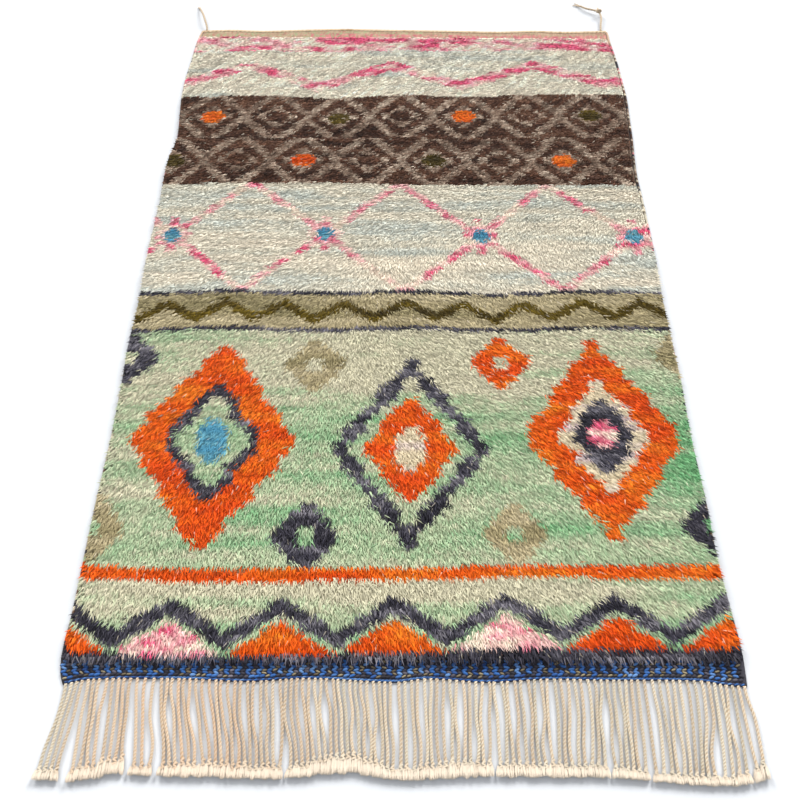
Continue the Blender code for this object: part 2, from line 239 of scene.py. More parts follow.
def make_piece(name, shape, material, softness=0.0):
    """A mesh object from one shape, with its colours and its flat map.

    Softness turns the shading of loose fibres upwards, as they scatter light from all round.
    """
    points, faces, colours, places = shape
    corners = np.concatenate([group.ravel() for group in faces])
    sizes = np.concatenate([np.full(len(group), group.shape[1]) for group in faces])
    mesh = bpy.data.meshes.new(name)
    mesh.vertices.add(len(points))
    mesh.vertices.foreach_set("co", points.astype(np.float32).ravel())
    mesh.loops.add(len(corners))
    mesh.loops.foreach_set("vertex_index", corners.astype(np.int32))
    mesh.polygons.add(len(sizes))
    mesh.polygons.foreach_set("loop_start", (np.cumsum(sizes) - sizes).astype(np.int32))
    mesh.update(calc_edges=True)
    mesh.shade_smooth()
    if softness:
        facing = np.empty(len(points) * 3, dtype=np.float32)
        mesh.vertex_normals.foreach_get("vector", facing)
        facing = unit(mix(facing.reshape(-1, 3), UP, softness))
        mesh.normals_split_custom_set_from_vertices(facing)
    painted = mesh.color_attributes.new("yarn", "FLOAT_COLOR", "POINT")
    solid = np.concatenate((colours, np.ones((len(colours), 1))), axis=1)
    painted.data.foreach_set("color", solid.astype(np.float32).ravel())
    flat_map = mesh.uv_layers.new(name="OFBake")
    flat_places = np.concatenate([group.ravel() for group in places])
    flat_map.uv.foreach_set("vector", flat_places.astype(np.float32))
    mesh.materials.append(material)
    piece = bpy.data.objects.new(name, mesh)
    bpy.context.scene.collection.objects.link(piece)
    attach(piece, "root")
    return piece


def add_node(nodes, kind, operation=None, held=()):
    """A new shader node with its operation and with the values that its sockets hold."""
    node = nodes.new("ShaderNode" + kind)
    if operation:
        node.operation = operation
    for socket, value in held:
        node.inputs[socket].default_value = value
    return node


def fibre_group():
    """Fine hairs that run along a yarn: they tint its colour and raise its surface."""
    group = bpy.data.node_groups.new("yarn_fibres", "ShaderNodeTree")
    ports = (("Colour", "INPUT", "NodeSocketColor"), ("Place", "INPUT", "NodeSocketVector"),
             ("Fineness", "INPUT", "NodeSocketVector"), ("Contrast", "INPUT", "NodeSocketFloat"),
             ("Colour", "OUTPUT", "NodeSocketColor"), ("Height", "OUTPUT", "NodeSocketFloat"))
    for name, way, kind in ports:
        group.interface.new_socket(name, in_out=way, socket_type=kind)
    nodes, links = group.nodes, group.links
    given = nodes.new("NodeGroupInput")
    made = nodes.new("NodeGroupOutput")
    stretched = add_node(nodes, "VectorMath", "MULTIPLY")
    noise = (("Scale", 1.0), ("Detail", 3.0), ("Roughness", 0.62))
    hairs = add_node(nodes, "TexNoise", None, noise)
    spread = add_node(nodes, "MapRange", None, (("From Min", 0.30), ("From Max", 0.70)))
    darkest = add_node(nodes, "Math", "SUBTRACT", ((0, 1.0),))
    lightest = add_node(nodes, "Math", "ADD", ((0, 1.0),))
    tint = add_node(nodes, "VectorMath", "SCALE")
    links.new(given.outputs["Place"], stretched.inputs[0])
    links.new(given.outputs["Fineness"], stretched.inputs[1])
    links.new(stretched.outputs["Vector"], hairs.inputs["Vector"])
    links.new(hairs.outputs["Fac"], spread.inputs["Value"])
    links.new(given.outputs["Contrast"], darkest.inputs[1])
    links.new(given.outputs["Contrast"], lightest.inputs[1])
    links.new(darkest.outputs[0], spread.inputs["To Min"])
    links.new(lightest.outputs[0], spread.inputs["To Max"])
    links.new(given.outputs["Colour"], tint.inputs[0])
    links.new(spread.outputs["Result"], tint.inputs["Scale"])
    links.new(tint.outputs["Vector"], made.inputs["Colour"])
    links.new(hairs.outputs["Fac"], made.inputs["Height"])
    return group


FIBRES = fibre_group()
YARN_FINISH = (("Roughness", 0.92), ("Sheen Weight", 0.10), ("Sheen Roughness", 0.55),
               ("Specular IOR Level", 0.18))


def yarn_material(name, fineness, contrast=0.22, relief=0.0004, combed=False):
    """Spun yarn in the colours painted on its piece, with its hairs and a soft sheen.

    In combed yarn the hairs run along each lock of the piece's flat map.
    """
    material = bpy.data.materials.new(name)
    material.use_nodes = True
    nodes, links = material.node_tree.nodes, material.node_tree.links
    shader = nodes["Principled BSDF"]
    for socket, value in YARN_FINISH:
        shader.inputs[socket].default_value = value
    painted = add_node(nodes, "Attribute")
    painted.attribute_name = "yarn"
    place = add_node(nodes, "UVMap" if combed else "TexCoord")
    if combed:
        place.uv_map = "OFBake"
    hairs = nodes.new("ShaderNodeGroup")
    hairs.node_tree = FIBRES
    hairs.inputs["Fineness"].default_value = fineness
    hairs.inputs["Contrast"].default_value = contrast
    raised = add_node(nodes, "Bump", None, (("Distance", relief), ("Strength", 0.8)))
    links.new(painted.outputs["Color"], hairs.inputs["Colour"])
    links.new(place.outputs["UV" if combed else "Object"], hairs.inputs["Place"])
    links.new(hairs.outputs["Colour"], shader.inputs["Base Color"])
    links.new(hairs.outputs["Height"], raised.inputs["Height"])
    links.new(raised.outputs["Normal"], shader.inputs["Normal"])
    return material


def ringed(wool, sides):
    """Colours along a tube, spread round each of its rings and on to its two end points."""
    wool = np.repeat(wool, sides, axis=0)
    return np.concatenate((wool, wool[:1], wool[-1:]))


def painted_yarn(colours, depth, groove=0.55):
    """A cord's one colour or its many, with painted shade down in the groove between its plies."""
    return np.atleast_2d(colours) * (1 - groove * depth[:, None])


FINE_HAIRS = (900.0, 900.0, 900.0)
COARSE_HAIRS = (700.0, 700.0, 700.0)
CORD_MATERIAL = yarn_material("cotton_cord", FINE_HAIRS, contrast=0.14)
KNOT_TURNS = 12
KNOT_SECTION = 6


def knot_loop(middle, heading, tilt, wide, tall, yarn_radius, colour, corner, size):
    """One turn of a cord round itself. The cord runs along the heading; the turn is tilted."""
    turn = np.arange(KNOT_TURNS) * 2 * math.pi / KNOT_TURNS
    section = np.arange(KNOT_SECTION) * 2 * math.pi / KNOT_SECTION
    across = np.cos(turn)[:, None] * (wide + yarn_radius * np.cos(section)[None, :])
    upward = np.sin(turn)[:, None] * (tall + yarn_radius * np.cos(section)[None, :])
    onward = yarn_radius * np.sin(section)[None, :] + across * math.tan(tilt)
    along_way = np.array((heading[0], heading[1], 0.0))
    sideways = np.cross(along_way, UP)
    points = (across[..., None] * sideways + onward[..., None] * along_way
              + upward[..., None] * UP).reshape(-1, 3) + middle
    ring, step = grid(KNOT_TURNS, KNOT_SECTION)
    ring_on, step_on = (ring + 1) % KNOT_TURNS, (step + 1) % KNOT_SECTION
    walls = np.stack((ring * KNOT_SECTION + step, ring * KNOT_SECTION + step_on,
                      ring_on * KNOT_SECTION + step_on, ring_on * KNOT_SECTION + step), axis=1)
    left, right = ring / KNOT_TURNS, (ring + 1) / KNOT_TURNS
    low, high = step / KNOT_SECTION, (step + 1) / KNOT_SECTION
    places = np.stack((left, low, left, high, right, high, right, low), axis=1)
    # Painted shade on the inside of each turn and along its edges
    inner = np.clip(-np.cos(section), 0.0, 1.0)
    edge = np.abs(np.sin(section))
    shade = np.tile(1 - 0.32 * inner - 0.16 * edge, KNOT_TURNS)
    return points, (walls,), colour[None, :] * shade[:, None], (cell(places, corner, size),)


def loose_plies(points, arch, spread):
    """The two plies of a cord that has come apart, from where they part to their tips."""
    onward = unit(np.gradient(points, axis=0))
    sideways = np.column_stack((onward[:, 1], -onward[:, 0]))
    t = np.linspace(0.0, 1.0, len(points))[:, None]
    shapes = []
    for index, way in enumerate((-1.0, 1.0)):
        flat = points + sideways * way * mix(TIE_PLY_APART, spread, t**1.4)
        route = np.column_stack((flat, TIE_PLY_RADIUS + arch))
        thick = TIE_PLY_RADIUS * (1.0 - 0.35 * t[:, 0] ** 3)
        ply, faces, depth, places = plied(route, thick, TIE_PLY_TURN, index * 1.3, waist=0.75)
        places = [cell(group, (0.5 * index, 0.0), (0.48, 1.0)) for group in places]
        shapes.append((ply, faces, painted_yarn(dyed(TIE_YARN), depth, 0.35), places))
    return joined(shapes)


def corner_tie(side, points, knotted, loose, spread, rise):
    """One tie: its twisted cord, its loose plies and, where it has one, its knot."""
    whole = smooth_route(points, TIE_STEP)
    parting = len(whole) - round(loose / TIE_STEP)
    flat = whole[:parting]
    arch = rise * np.sin(math.pi * np.linspace(0.0, 1.0, len(whole)) ** 0.8)
    t = np.linspace(0.0, 1.0, len(flat))
    run = sum(math.dist(a, b) for a, b in zip(flat, flat[1:]))
    away = np.abs(t - TIE_KNOT_AT) * run / TIE_KNOT_HALF
    lifted = 1.0 + TIE_KNOT_SWELL * np.clip(1.0 - away, 0.0, 1.0) * knotted
    route = np.column_stack((flat, TIE_RADIUS * lifted + arch[:parting]))
    cord, faces, depth, places = plied(route, TIE_RADIUS, TIE_TURN)
    shape = (cord, faces, painted_yarn(dyed(TIE_YARN), depth), places)
    tie = make_piece("tie_" + side, joined([shape]), CORD_MATERIAL, TIE_SOFTNESS)
    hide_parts("corner_tie_" + side)
    plies = loose_plies(whole[parting - 1:], arch[parting - 1:], spread)
    tip = make_piece("tie_tip_" + side, plies, CORD_MATERIAL, TIE_SOFTNESS)
    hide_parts("corner_tie_" + side)
    if knotted:
        index = round(TIE_KNOT_AT * (len(flat) - 1))
        heading = unit(flat[index + 2] - flat[index - 2])
        loops = []
        for turn, (tilt, shift) in enumerate(TIE_KNOT_LOOPS):
            middle = np.array((*(flat[index] + heading * shift), TIE_KNOT_HEIGHT + arch[index]))
            loops.append(knot_loop(middle, heading, tilt, *TIE_KNOT_SIZE, dyed(TIE_YARN),
                                   (0.5 * turn, 0.0), (0.48, 1.0)))
        knot = make_piece("tie_knot", joined(loops), CORD_MATERIAL, TIE_SOFTNESS)
        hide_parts("corner_tie_" + side)


corner_tie("left", LEFT_TIE, knotted=0.0, loose=0.015, spread=0.0035, rise=0.012)
corner_tie("right", RIGHT_TIE, knotted=1.0, loose=0.028, spread=0.0075, rise=0.008)


# The ground cloth
# The rug's wool foundation: warps up the rug, a few wefts after each row of knots. It lies on
# the floor, hidden by the pile, and its back shows the knots as small blocks of colour.
CLOTH_THICK = 0.004
CLOTH_BACK = 0.0002
BACK_SHADE = 0.80
# The cloth's upper face is painted darker, as painted shade in the gaps between the locks
GROUND_FACE_PAINTED_SHADE = 0.62
SEAT_GAP = 0.0003
SELVEDGE_RADIUS = 0.004
PILE_FOOT_Y = -1.072
PILE_HEAD_Y = 1.283
PILE_HEAD_SLOPE = -0.009
GROUND_MARGIN = 0.0025
GROUND_RELIEF = 0.0012
SIDE_STEPS = 50
GROUND_ROWS = 118
GROUND_COLUMNS = 74
KNOT_PITCH = 0.0064
ROW_PITCH = 0.0073
SIDE_EDGES = (
    (-1.139, -0.7435, 0.7440),
    (-1.111, -0.7555, 0.7465),
    (-1.053, -0.7635, 0.7495),
    (-0.981, -0.7595, 0.7460),
    (-0.829, -0.7595, 0.7390),
    (-0.664, -0.7595, 0.7410),
    (-0.484, -0.7565, 0.7380),
    (-0.288, -0.7590, 0.7430),
    (-0.183, -0.7630, 0.7415),
    (0.004, -0.7595, 0.7405),
    (0.165, -0.7645, 0.7455),
    (0.428, -0.7615, 0.7455),
    (0.522, -0.7650, 0.7430),
    (0.619, -0.7635, 0.7475),
    (0.720, -0.7490, 0.7550),
    (0.825, -0.7555, 0.7595),
    (0.934, -0.7635, 0.7650),
    (1.048, -0.7640, 0.7625),
    (1.154, -0.7570, 0.7590),
    (1.277, -0.7505, 0.7495),
    (1.327, -0.7430, 0.7480),
    (1.353, -0.7350, 0.7370),
)


def left_edge(y):
    return along(SIDE_EDGES, y, 1)


def right_edge(y):
    return along(SIDE_EDGES, y, 2)


def pile_head(x):
    return PILE_HEAD_Y + PILE_HEAD_SLOPE * x


def side_line(edge, margin, share):
    """Points up one side at shares of its height, on straight runs between even stations."""
    stations = np.linspace(0.0, 1.0, SIDE_STEPS + 1)
    heights = mix(PILE_FOOT_Y - margin, pile_head(edge(PILE_HEAD_Y)) + margin, stations)
    return np.interp(share, stations, edge(heights)), np.interp(share, stations, heights)


def field_points(up, across, margin, inset):
    """Points of the knotted part at shares of the way up and across."""
    left_x, left_y = side_line(left_edge, margin, up)
    right_x, right_y = side_line(right_edge, margin, up)
    x = mix(left_x + inset, right_x - inset, across)
    return x, mix(left_y, right_y, across)


def drift(a, b, seed):
    """Soft random values, 0 to 1, that change over each unit of a and of b."""
    size = 256
    table = np.random.default_rng(seed).random((size, size))
    a, b = np.broadcast_arrays(np.asarray(a, dtype=float), np.asarray(b, dtype=float))
    row, column = np.floor(a).astype(int), np.floor(b).astype(int)
    s, t = a - row, b - column
    s, t = s * s * (3 - 2 * s), t * t * (3 - 2 * t)
    near = mix(table[row % size, column % size], table[row % size, (column + 1) % size], t)
    far = mix(table[(row + 1) % size, column % size],
              table[(row + 1) % size, (column + 1) % size], t)
    return mix(near, far, s)


def shades(amount, *colours):
    """Colours blended one into the next as the amount goes from 0 to 1."""
    steps = np.linspace(0.0, 1.0, len(colours))
    table = np.array([dyed(colour) for colour in colours])
    return np.stack([np.interp(amount, steps, table[:, i]) for i in range(3)], axis=-1)


def streaks(u, v, seed, length=0.40, height=0.030):
    """The dye's uneven take-up, in streaks along the rows of knots."""
    slow = drift(u / length, v / height, seed)
    quick = drift(u / (length * 0.3), v / (height * 0.35), seed + 1)
    return np.clip((slow * 0.65 + quick * 0.35 - 0.5) * 1.7 + 0.5, 0.0, 1.0)


def flecks(u, v, seed):
    """Two-coloured wool spun together: each knot takes more of one or of the other."""
    return np.clip((drift(u / KNOT_PITCH, v / ROW_PITCH, seed) - 0.5) * 1.9 + 0.5, 0.0, 1.0)


def mint(u, v):
    """The green ground, deeper or paler in broad clouds and pale towards the head."""
    slow = drift(u / 0.9, v / 0.16, 31)
    paler = np.interp(v, (0.30, 0.60, 0.95), (0.0, 0.06, 0.36))
    amount = streaks(u, v, 33) * 0.62 + (slow - 0.5) * 1.0 + 0.16 - paler
    amount = np.clip(amount + (flecks(u, v, 34) - 0.5) * 0.30, 0.0, 1.0)
    return shades(amount, (212, 206, 177), (186, 200, 163), (157, 190, 147), (114, 178, 122))


def dye(seed, colours, spun=0.0, length=0.40, height=0.030):
    """A wool in streaks of its colours. A share of it is spun in flecks from two fleeces."""
    def wool(u, v):
        amount = streaks(u, v, seed, length, height) * (1 - spun)
        if spun:
            amount = amount + flecks(u, v, seed + 1) * spun
        return shades(amount, *colours)
    return wool


orange = dye(35, ((224, 76, 5), (236, 94, 9), (243, 120, 24)), length=0.15)
charcoal = dye(37, ((22, 21, 30), (62, 60, 71), (142, 138, 146)), 0.40, 0.12, 0.020)
khaki = dye(39, ((154, 143, 104), (180, 166, 128), (200, 186, 150)))
olive = dye(41, ((58, 46, 4), (78, 63, 8), (104, 86, 14)))
heather = dye(43, ((92, 71, 58), (152, 127, 108), (222, 203, 182)), 0.55, 0.25, 0.020)
brown = dye(45, ((44, 25, 14), (80, 49, 34), (118, 84, 64)), 0.40, 0.25, 0.020)
stone = dye(47, ((207, 213, 203), (232, 225, 204), (244, 231, 208)), 0.20, 0.35)
teal = dye(51, ((58, 128, 164), (84, 156, 186), (120, 178, 190)))
sand = dye(53, ((222, 204, 168), (232, 216, 184), (214, 190, 196)))


def rose(u, v):
    """Rose wool taken up in short dashes, down to nearly undyed between them."""
    dash = drift(u / 0.038, v / 0.013, 49) * 0.62 + drift(u / 0.12, v / 0.05, 50) * 0.38
    amount = np.clip((dash - 0.5) * 2.6 + 0.50, 0.0, 1.0)
    return shades(amount, (253, 232, 210), (252, 206, 198), (250, 164, 174), (238, 92, 128))


def stepped(place, step):
    """A place moved to the middle of its step, so that slants are knotted as stairs."""
    return (np.floor(place / step) + 0.5) * step


def zigzag(u, period):
    """Up from 0 to 1 and down again over each period."""
    return np.abs((u / period) % 1.0 - 0.5) * 2


def lozenge(u, v, middle, half):
    """0 at a stepped lozenge's middle and 1 at its edge."""
    steps = (3 * KNOT_PITCH, 3 * ROW_PITCH)
    away_u = np.abs(stepped(u - middle[0], steps[0]))
    away_v = np.abs(stepped(v - middle[1], steps[1]))
    return away_u / half[0] + away_v / half[1]


def lay(ground, where, wool):
    """One wool laid into another wherever the chart asks for it."""
    return np.where(where[..., None], wool, ground)


# Where each register of the design ends, up from the pile's foot
BORDER_END = 0.200
LOZENGES_END = 0.955
KHAKI_END = 1.105
NET_END = 1.560
BAND_END = 2.010


def foot_border(u, v):
    """Charcoal zigzag over orange and rose teeth, on the pale ground."""
    line = 0.055 + 0.085 * zigzag(stepped(u + 0.03, 2 * KNOT_PITCH), 0.25)
    tooth = np.floor((u + 0.155) / 0.25) % 3
    wool = mint(u, v + 0.6)
    wool = lay(wool, (v < line - 0.036) & (tooth != 1), orange(u, v))
    wool = lay(wool, (v < line - 0.036) & (tooth == 1), rose(u, v))
    wool = lay(wool, np.abs(v - line) < 0.021, charcoal(u, v))
    return lay(wool, v < 0.024, charcoal(u, v))


def lozenge_field(u, v):
    """Three large lozenges in rings on mint, with small ones between them."""
    wool = mint(u, v)
    rings = (
        ((-0.485, 0.590), (0.215, 0.330),
         ((1.0, orange), (0.60, charcoal), (0.44, mint), (0.24, teal))),
        ((0.010, 0.570), (0.205, 0.290),
         ((1.0, charcoal), (0.78, mint), (0.60, orange), (0.26, sand))),
        ((0.500, 0.605), (0.205, 0.315),
         ((1.0, orange), (0.58, sand), (0.42, charcoal), (0.22, rose))),
    )
    for middle, half, layers in rings:
        away = lozenge(u, v, middle, half)
        for reach, dye in layers:
            wool = lay(wool, away < reach, dye(u, v))
    small = (
        (-0.235, 0.315, charcoal), (-0.240, 0.840, khaki),
        (0.262, 0.320, khaki), (0.250, 0.850, orange),
        (-0.742, 0.860, charcoal), (-0.742, 0.330, khaki),
        (0.742, 0.340, charcoal), (0.742, 0.870, khaki),
    )
    for place_u, place_v, dye in small:
        away = lozenge(u, v, (place_u, place_v), (0.080, 0.105))
        wool = lay(wool, away < 1.0, dye(u, v))
        wool = lay(wool, away < 0.36, mint(u, v + 0.3))
    return lay(wool, v < 0.232, orange(u, v))


def khaki_border(u, v):
    """Olive zigzag on khaki between two thin charcoal lines."""
    height = v - LOZENGES_END
    line = 0.045 + 0.060 * zigzag(stepped(u, 2 * KNOT_PITCH), 0.165)
    wool = lay(khaki(u, v), np.abs(height - line) < 0.017, olive(u, v))
    return lay(wool, (height < 0.014) | (height > 0.137), charcoal(u, v))


NET_PERIOD = 0.46
NET_SLOPE = 1.01
NET_LINE = 0.925


def rose_net(u, v):
    """A wide net of streaky rose lines on pale stone, with a small lozenge in each mesh."""
    wool = stone(u, v)
    height = v - KHAKI_END
    slant_up = zigzag(stepped(u, KNOT_PITCH) + height * NET_SLOPE, NET_PERIOD)
    slant_down = zigzag(stepped(u, KNOT_PITCH) - height * NET_SLOPE, NET_PERIOD)
    wool = lay(wool, (slant_up > NET_LINE) | (slant_down > NET_LINE), rose(u, v))
    middle_u = (np.floor(u / NET_PERIOD) + 0.5) * NET_PERIOD
    middle_v = KHAKI_END + NET_PERIOD / NET_SLOPE / 2
    away = np.abs(stepped(u - middle_u, 2 * KNOT_PITCH)) / 0.060
    away += np.abs(stepped(v - middle_v, 2 * ROW_PITCH)) / 0.075
    wool = lay(wool, away < 1.0, rose(u, v))
    return lay(wool, away < 0.5, teal(u, v))


BAND_LOZENGE_WIDE = 0.210
BAND_LOZENGE_TALL = 0.225


def lozenge_band(u, v):
    """Two rows of brown lozenges on heather, with brown, olive and orange hearts by turns."""
    height = v - NET_END
    row = np.floor(height / BAND_LOZENGE_TALL)
    place = u / BAND_LOZENGE_WIDE + 0.5 * row
    turn = (np.floor(place) + row) % 4
    from_middle = (place - np.floor(place) - 0.5) * BAND_LOZENGE_WIDE
    away = np.abs(stepped(from_middle, 2 * KNOT_PITCH)) / (BAND_LOZENGE_WIDE / 2)
    from_middle = height - (row + 0.5) * BAND_LOZENGE_TALL
    away += np.abs(stepped(from_middle, 2 * ROW_PITCH)) / (BAND_LOZENGE_TALL / 2)
    wool = lay(heather(u, v), (away < 0.92) & (away > 0.62), brown(u, v))
    wool = lay(wool, away > 1.30, brown(u, v))
    heart = away < 0.38
    wool = lay(wool, heart & (turn == 0), olive(u, v))
    wool = lay(wool, heart & (turn == 2), orange(u, v))
    return lay(wool, heart & (turn % 2 == 1), brown(u, v))


def head_field(u, v):
    """A broad rose zigzag on pale stone, and rose rows at the head."""
    height = v - BAND_END
    wool = stone(u, v)
    line = 0.062 + 0.110 * zigzag(stepped(u + 0.04, 2 * KNOT_PITCH), 0.500)
    wool = lay(wool, np.abs(height - line) < 0.026, rose(u, v))
    return lay(wool, height > 0.262, rose(u, v + 0.5))


REGISTERS = (
    (BORDER_END, foot_border),
    (LOZENGES_END, lozenge_field),
    (KHAKI_END, khaki_border),
    (NET_END, rose_net),
    (BAND_END, lozenge_band),
    (math.inf, head_field),
)


def field_colours(x, y):
    """The wool at a place on the field. Hand knotting lets every line wander a little."""
    v = y - PILE_FOOT_Y
    u = x + 0.014 * (drift(v / 0.11, 0.5, 61) - 0.5)
    u = u + 0.007 * (drift(v / 0.02, x / 0.3, 62) - 0.5)
    v = v + 0.020 * (drift(x / 0.25, v / 0.5, 63) - 0.5)
    wool = np.zeros((len(x), 3))
    low = -math.inf
    for high, register in REGISTERS:
        inside = (v >= low) & (v < high)
        wool[inside] = register(u[inside], v[inside])
        low = high
    return wool


def grid_faces(rows, columns):
    """A grid's faces seen from above, and the points of its rim once round."""
    row, column = grid(rows, columns)
    wide = columns + 1
    corner = row * wide + column
    upper = np.stack((corner, corner + 1, corner + wide + 1, corner + wide), axis=1)
    rim = np.concatenate((
        np.arange(columns), columns + wide * np.arange(rows),
        rows * wide + columns - np.arange(columns), wide * (rows - np.arange(rows)),
    ))
    return upper, rim


def rim_walls(rim, below, spots, drop):
    """Faces from a grid's rim to the points below it, with places close beside the rim's."""
    walls = np.stack((below, np.roll(below, -1), np.roll(rim, -1), rim), axis=1)
    places = spots[walls[:, (3, 2, 2, 3)]]
    places[:, :2] += drop
    return walls, places


def sheet_shape(rows, columns, place, low, high, colours_low, colours_high):
    """A thin closed sheet on a grid: its upper face at one height and its back at another."""
    row, column = grid(rows + 1, columns + 1)
    x, y = place(row / rows, column / columns)
    top = np.column_stack((x, y, np.full(len(x), high)))
    back = np.column_stack((x, y, np.full(len(x), low)))
    upper, rim = grid_faces(rows, columns)
    faces = np.concatenate((upper, upper[:, ::-1] + len(top)))
    flat = np.column_stack((column / columns, row / rows)) * (0.98, 0.47)
    spots = np.concatenate((flat + (0.01, 0.01), flat + (0.01, 0.51)))
    walls, wall_places = rim_walls(rim, rim + len(top), spots, 0.004)
    places = np.concatenate((spots[faces], wall_places)).reshape(-1, 8)
    colours = np.concatenate((colours_high(x, y), colours_low(x, y)))
    return np.concatenate((top, back)), (np.concatenate((faces, walls)),), colours, (places,)


def weave_material(name, pitch_x, pitch_y, relief, contrast=0.3):
    """Yarns over and under each other, with painted shade in the hollows between them."""
    material = yarn_material(name, COARSE_HAIRS, contrast=0.12)
    nodes, links = material.node_tree.nodes, material.node_tree.links
    shader = nodes["Principled BSDF"]
    hairs = next(node for node in nodes if node.type == "GROUP")
    raised = next(node for node in nodes if node.type == "BUMP")
    where = add_node(nodes, "TexCoord")
    crossing = add_node(nodes, "Math", "MULTIPLY")
    for index, pitch in enumerate((pitch_x, pitch_y)):
        wave = (("Scale", math.pi / (10 * pitch)), ("Distortion", 0.4))
        band = add_node(nodes, "TexWave", None, wave)
        band.bands_direction = "XY"[index]
        links.new(where.outputs["Object"], band.inputs["Vector"])
        links.new(band.outputs["Fac"], crossing.inputs[index])
    # Painted shade in the hollows between the yarns
    hollow = add_node(nodes, "MapRange", None, (("To Min", 1.0 - contrast), ("To Max", 1.0)))
    links.new(crossing.outputs[0], hollow.inputs["Value"])
    tint = add_node(nodes, "VectorMath", "SCALE")
    links.new(hairs.outputs["Colour"], tint.inputs[0])
    links.new(hollow.outputs["Result"], tint.inputs["Scale"])
    links.new(tint.outputs["Vector"], shader.inputs["Base Color"])
    raised.inputs["Distance"].default_value = relief
    links.new(crossing.outputs[0], raised.inputs["Height"])
    return material


def ground_place(up, across):
    return field_points(up, across, GROUND_MARGIN, 2 * SELVEDGE_RADIUS + SEAT_GAP)


ground_shape = sheet_shape(
    GROUND_ROWS, GROUND_COLUMNS, ground_place, CLOTH_BACK, CLOTH_THICK,
    lambda x, y: field_colours(x, y) * BACK_SHADE,
    # The upper face takes the painted shade; the back is a little darker than the field's colours
    lambda x, y: field_colours(x, y) * GROUND_FACE_PAINTED_SHADE,
)
ground = make_piece("ground_weave", ground_shape,
                    weave_material("knotted_ground", KNOT_PITCH, ROW_PITCH, GROUND_RELIEF))
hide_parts("ground_cloth")


# The pile
# Wool knotted in rows on the ground and cut about 25 mm long. It is brushed towards the foot
# and out to both sides, and near the head to the left. Each knot shows as two pointed locks.
PILE_PARTS = ("foot", "lower", "upper", "head")
PILE_SOFTNESS = 0.84
PILE_WIDE = 1.49
PILE_LONG = 2.35
PILE_SIDE_INSET = 0.0115
PILE_ROWS = 322
LOCKS_IN_ROW = 464
LOCK_REACH = ((-1.08, 0.0280), (-0.30, 0.0260), (0.20, 0.0235), (0.60, 0.0205), (1.29, 0.0185))
LOCK_HEIGHT = 0.0165
LOCK_WIDTH = 0.0031
FOOT_DROOP = ((0, 0.36), (1, 0.50), (2, 0.66), (3, 0.82), (4, 0.92), (5, 1.0))
NAP_WANDER = 22.0
NAP_SCATTER = 19.0
LOCK_SCATTER = (0.0011, 0.0018)
ROW_PARTING = 0.0030
SPLAY_MARGIN = 0.016
SPLAY = 0.0030
NAP_SHARES = (0.10, 0.35, 0.50, 0.70, 0.90)
NAP_ANGLES = (
    (-1.02, (4, -5, -14, -25, -29)),
    (-0.76, (11, -5, -4, -23, -25)),
    (-0.47, (22, 1, -18, -27, -28)),
    (-0.30, (32, 2, -28, -33, -36)),
    (-0.10, (31, 18, -32, -34, -38)),
    (0.10, (44, 30, -10, -24, -32)),
    (0.25, (46, 44, 26, 10, 2)),
    (0.40, (46, 50, 50, 44, 44)),
    (0.61, (50, 48, 48, 52, 48)),
    (0.83, (38, 36, 40, 38, 36)),
    (1.05, (34, 34, 38, 34, 38)),
    (1.29, (34, 34, 38, 34, 38)),
)
RIDGE_BAND = ((0.02, 0.0), (0.10, 0.7), (0.48, 0.8), (0.60, 1.0), (0.80, 0.9), (0.92, 0.0))
TRESS_LEAN = 38.0
TRESS_WIDTH = 0.0078
TRESS_LENGTH = 0.034
TRESS_BAND = ((0.72, 0.0), (0.90, 1.0))
# How strongly the tresses' painted light and shade differ
TRESS_LIGHT_AND_SHADE = 0.80
BODY_WIDE = 1.47
BODY_COLUMNS = 100
BODY_STEPS = 39
BODY_INSET = 0.004
BODY_HEIGHT = 0.0095
BODY_EDGE = 0.016
BODY_LUMP_LONG = 0.014
BODY_LUMP_TALL = 0.0026
# The wool body is painted darker than the locks, as painted shade down between them
BODY_PAINTED_SHADE = 0.80
LOCK_FACES = np.array(((0, 2, 1), (3, 1, 2), (0, 1, 3), (0, 3, 2)))
LOCK_SPOTS = np.array(((0.5, 0.98), (0.04, 0.52), (0.96, 0.52), (0.5, 0.02)))
# Painted shade along each lock: darkest at the root, deep in the pile, with a little painted light
# at the tip
LOCK_PAINTED_SHADE = (0.80, 0.95, 0.95, 1.03)
KNOT_UNEVENNESS = 0.055
LOCK_UNEVENNESS = 0.065
DARK_WOOL = 0.20
DARK_UNEVENNESS = 0.24
VIVID_WOOL = 0.35
VIVID_UNEVENNESS = 0.75
# How deep the painted shade in open rows is, where the rows are ridged
ROW_SHADE = 1.5
# Odd locks: the share of them, and how much darker or lighter they are. The darker ones are
# painted shadow between the locks
PAINTED_SHADOW_LOCKS = (0.065, 0.26)
DARK_GLINTS = (0.15, 0.9)
PALE_HAIRS = 0.012
PALE_HAIR = (224, 212, 190)


def locks(roots, bellies, tips, width, roll, colours, corners, size, shade=LOCK_PAINTED_SHADE):
    """Pointed locks that bend over: thin at the root, wide at the belly, a point at the tip."""
    count = len(roots)
    onward = unit(tips - roots)
    side = unit(np.cross(onward, UP))
    lift = np.cross(side, onward)
    half = (width / 2)[:, None] * (np.cos(roll)[:, None] * side + np.sin(roll)[:, None] * lift)
    points = np.stack((roots, bellies - half, bellies + half, tips), axis=1)
    first = np.arange(count)[:, None, None] * 4
    faces = (LOCK_FACES[None] + first).reshape(-1, 3)
    places = corners[:, None, None, :] + LOCK_SPOTS[LOCK_FACES][None] * size
    # Each point of a lock takes its painted shade, darker towards the root
    painted = (colours[:, None, :] * np.array(shade)[None, :, None]).reshape(-1, 3)
    return points.reshape(-1, 3), (faces,), painted, (places.reshape(-1, 6),)


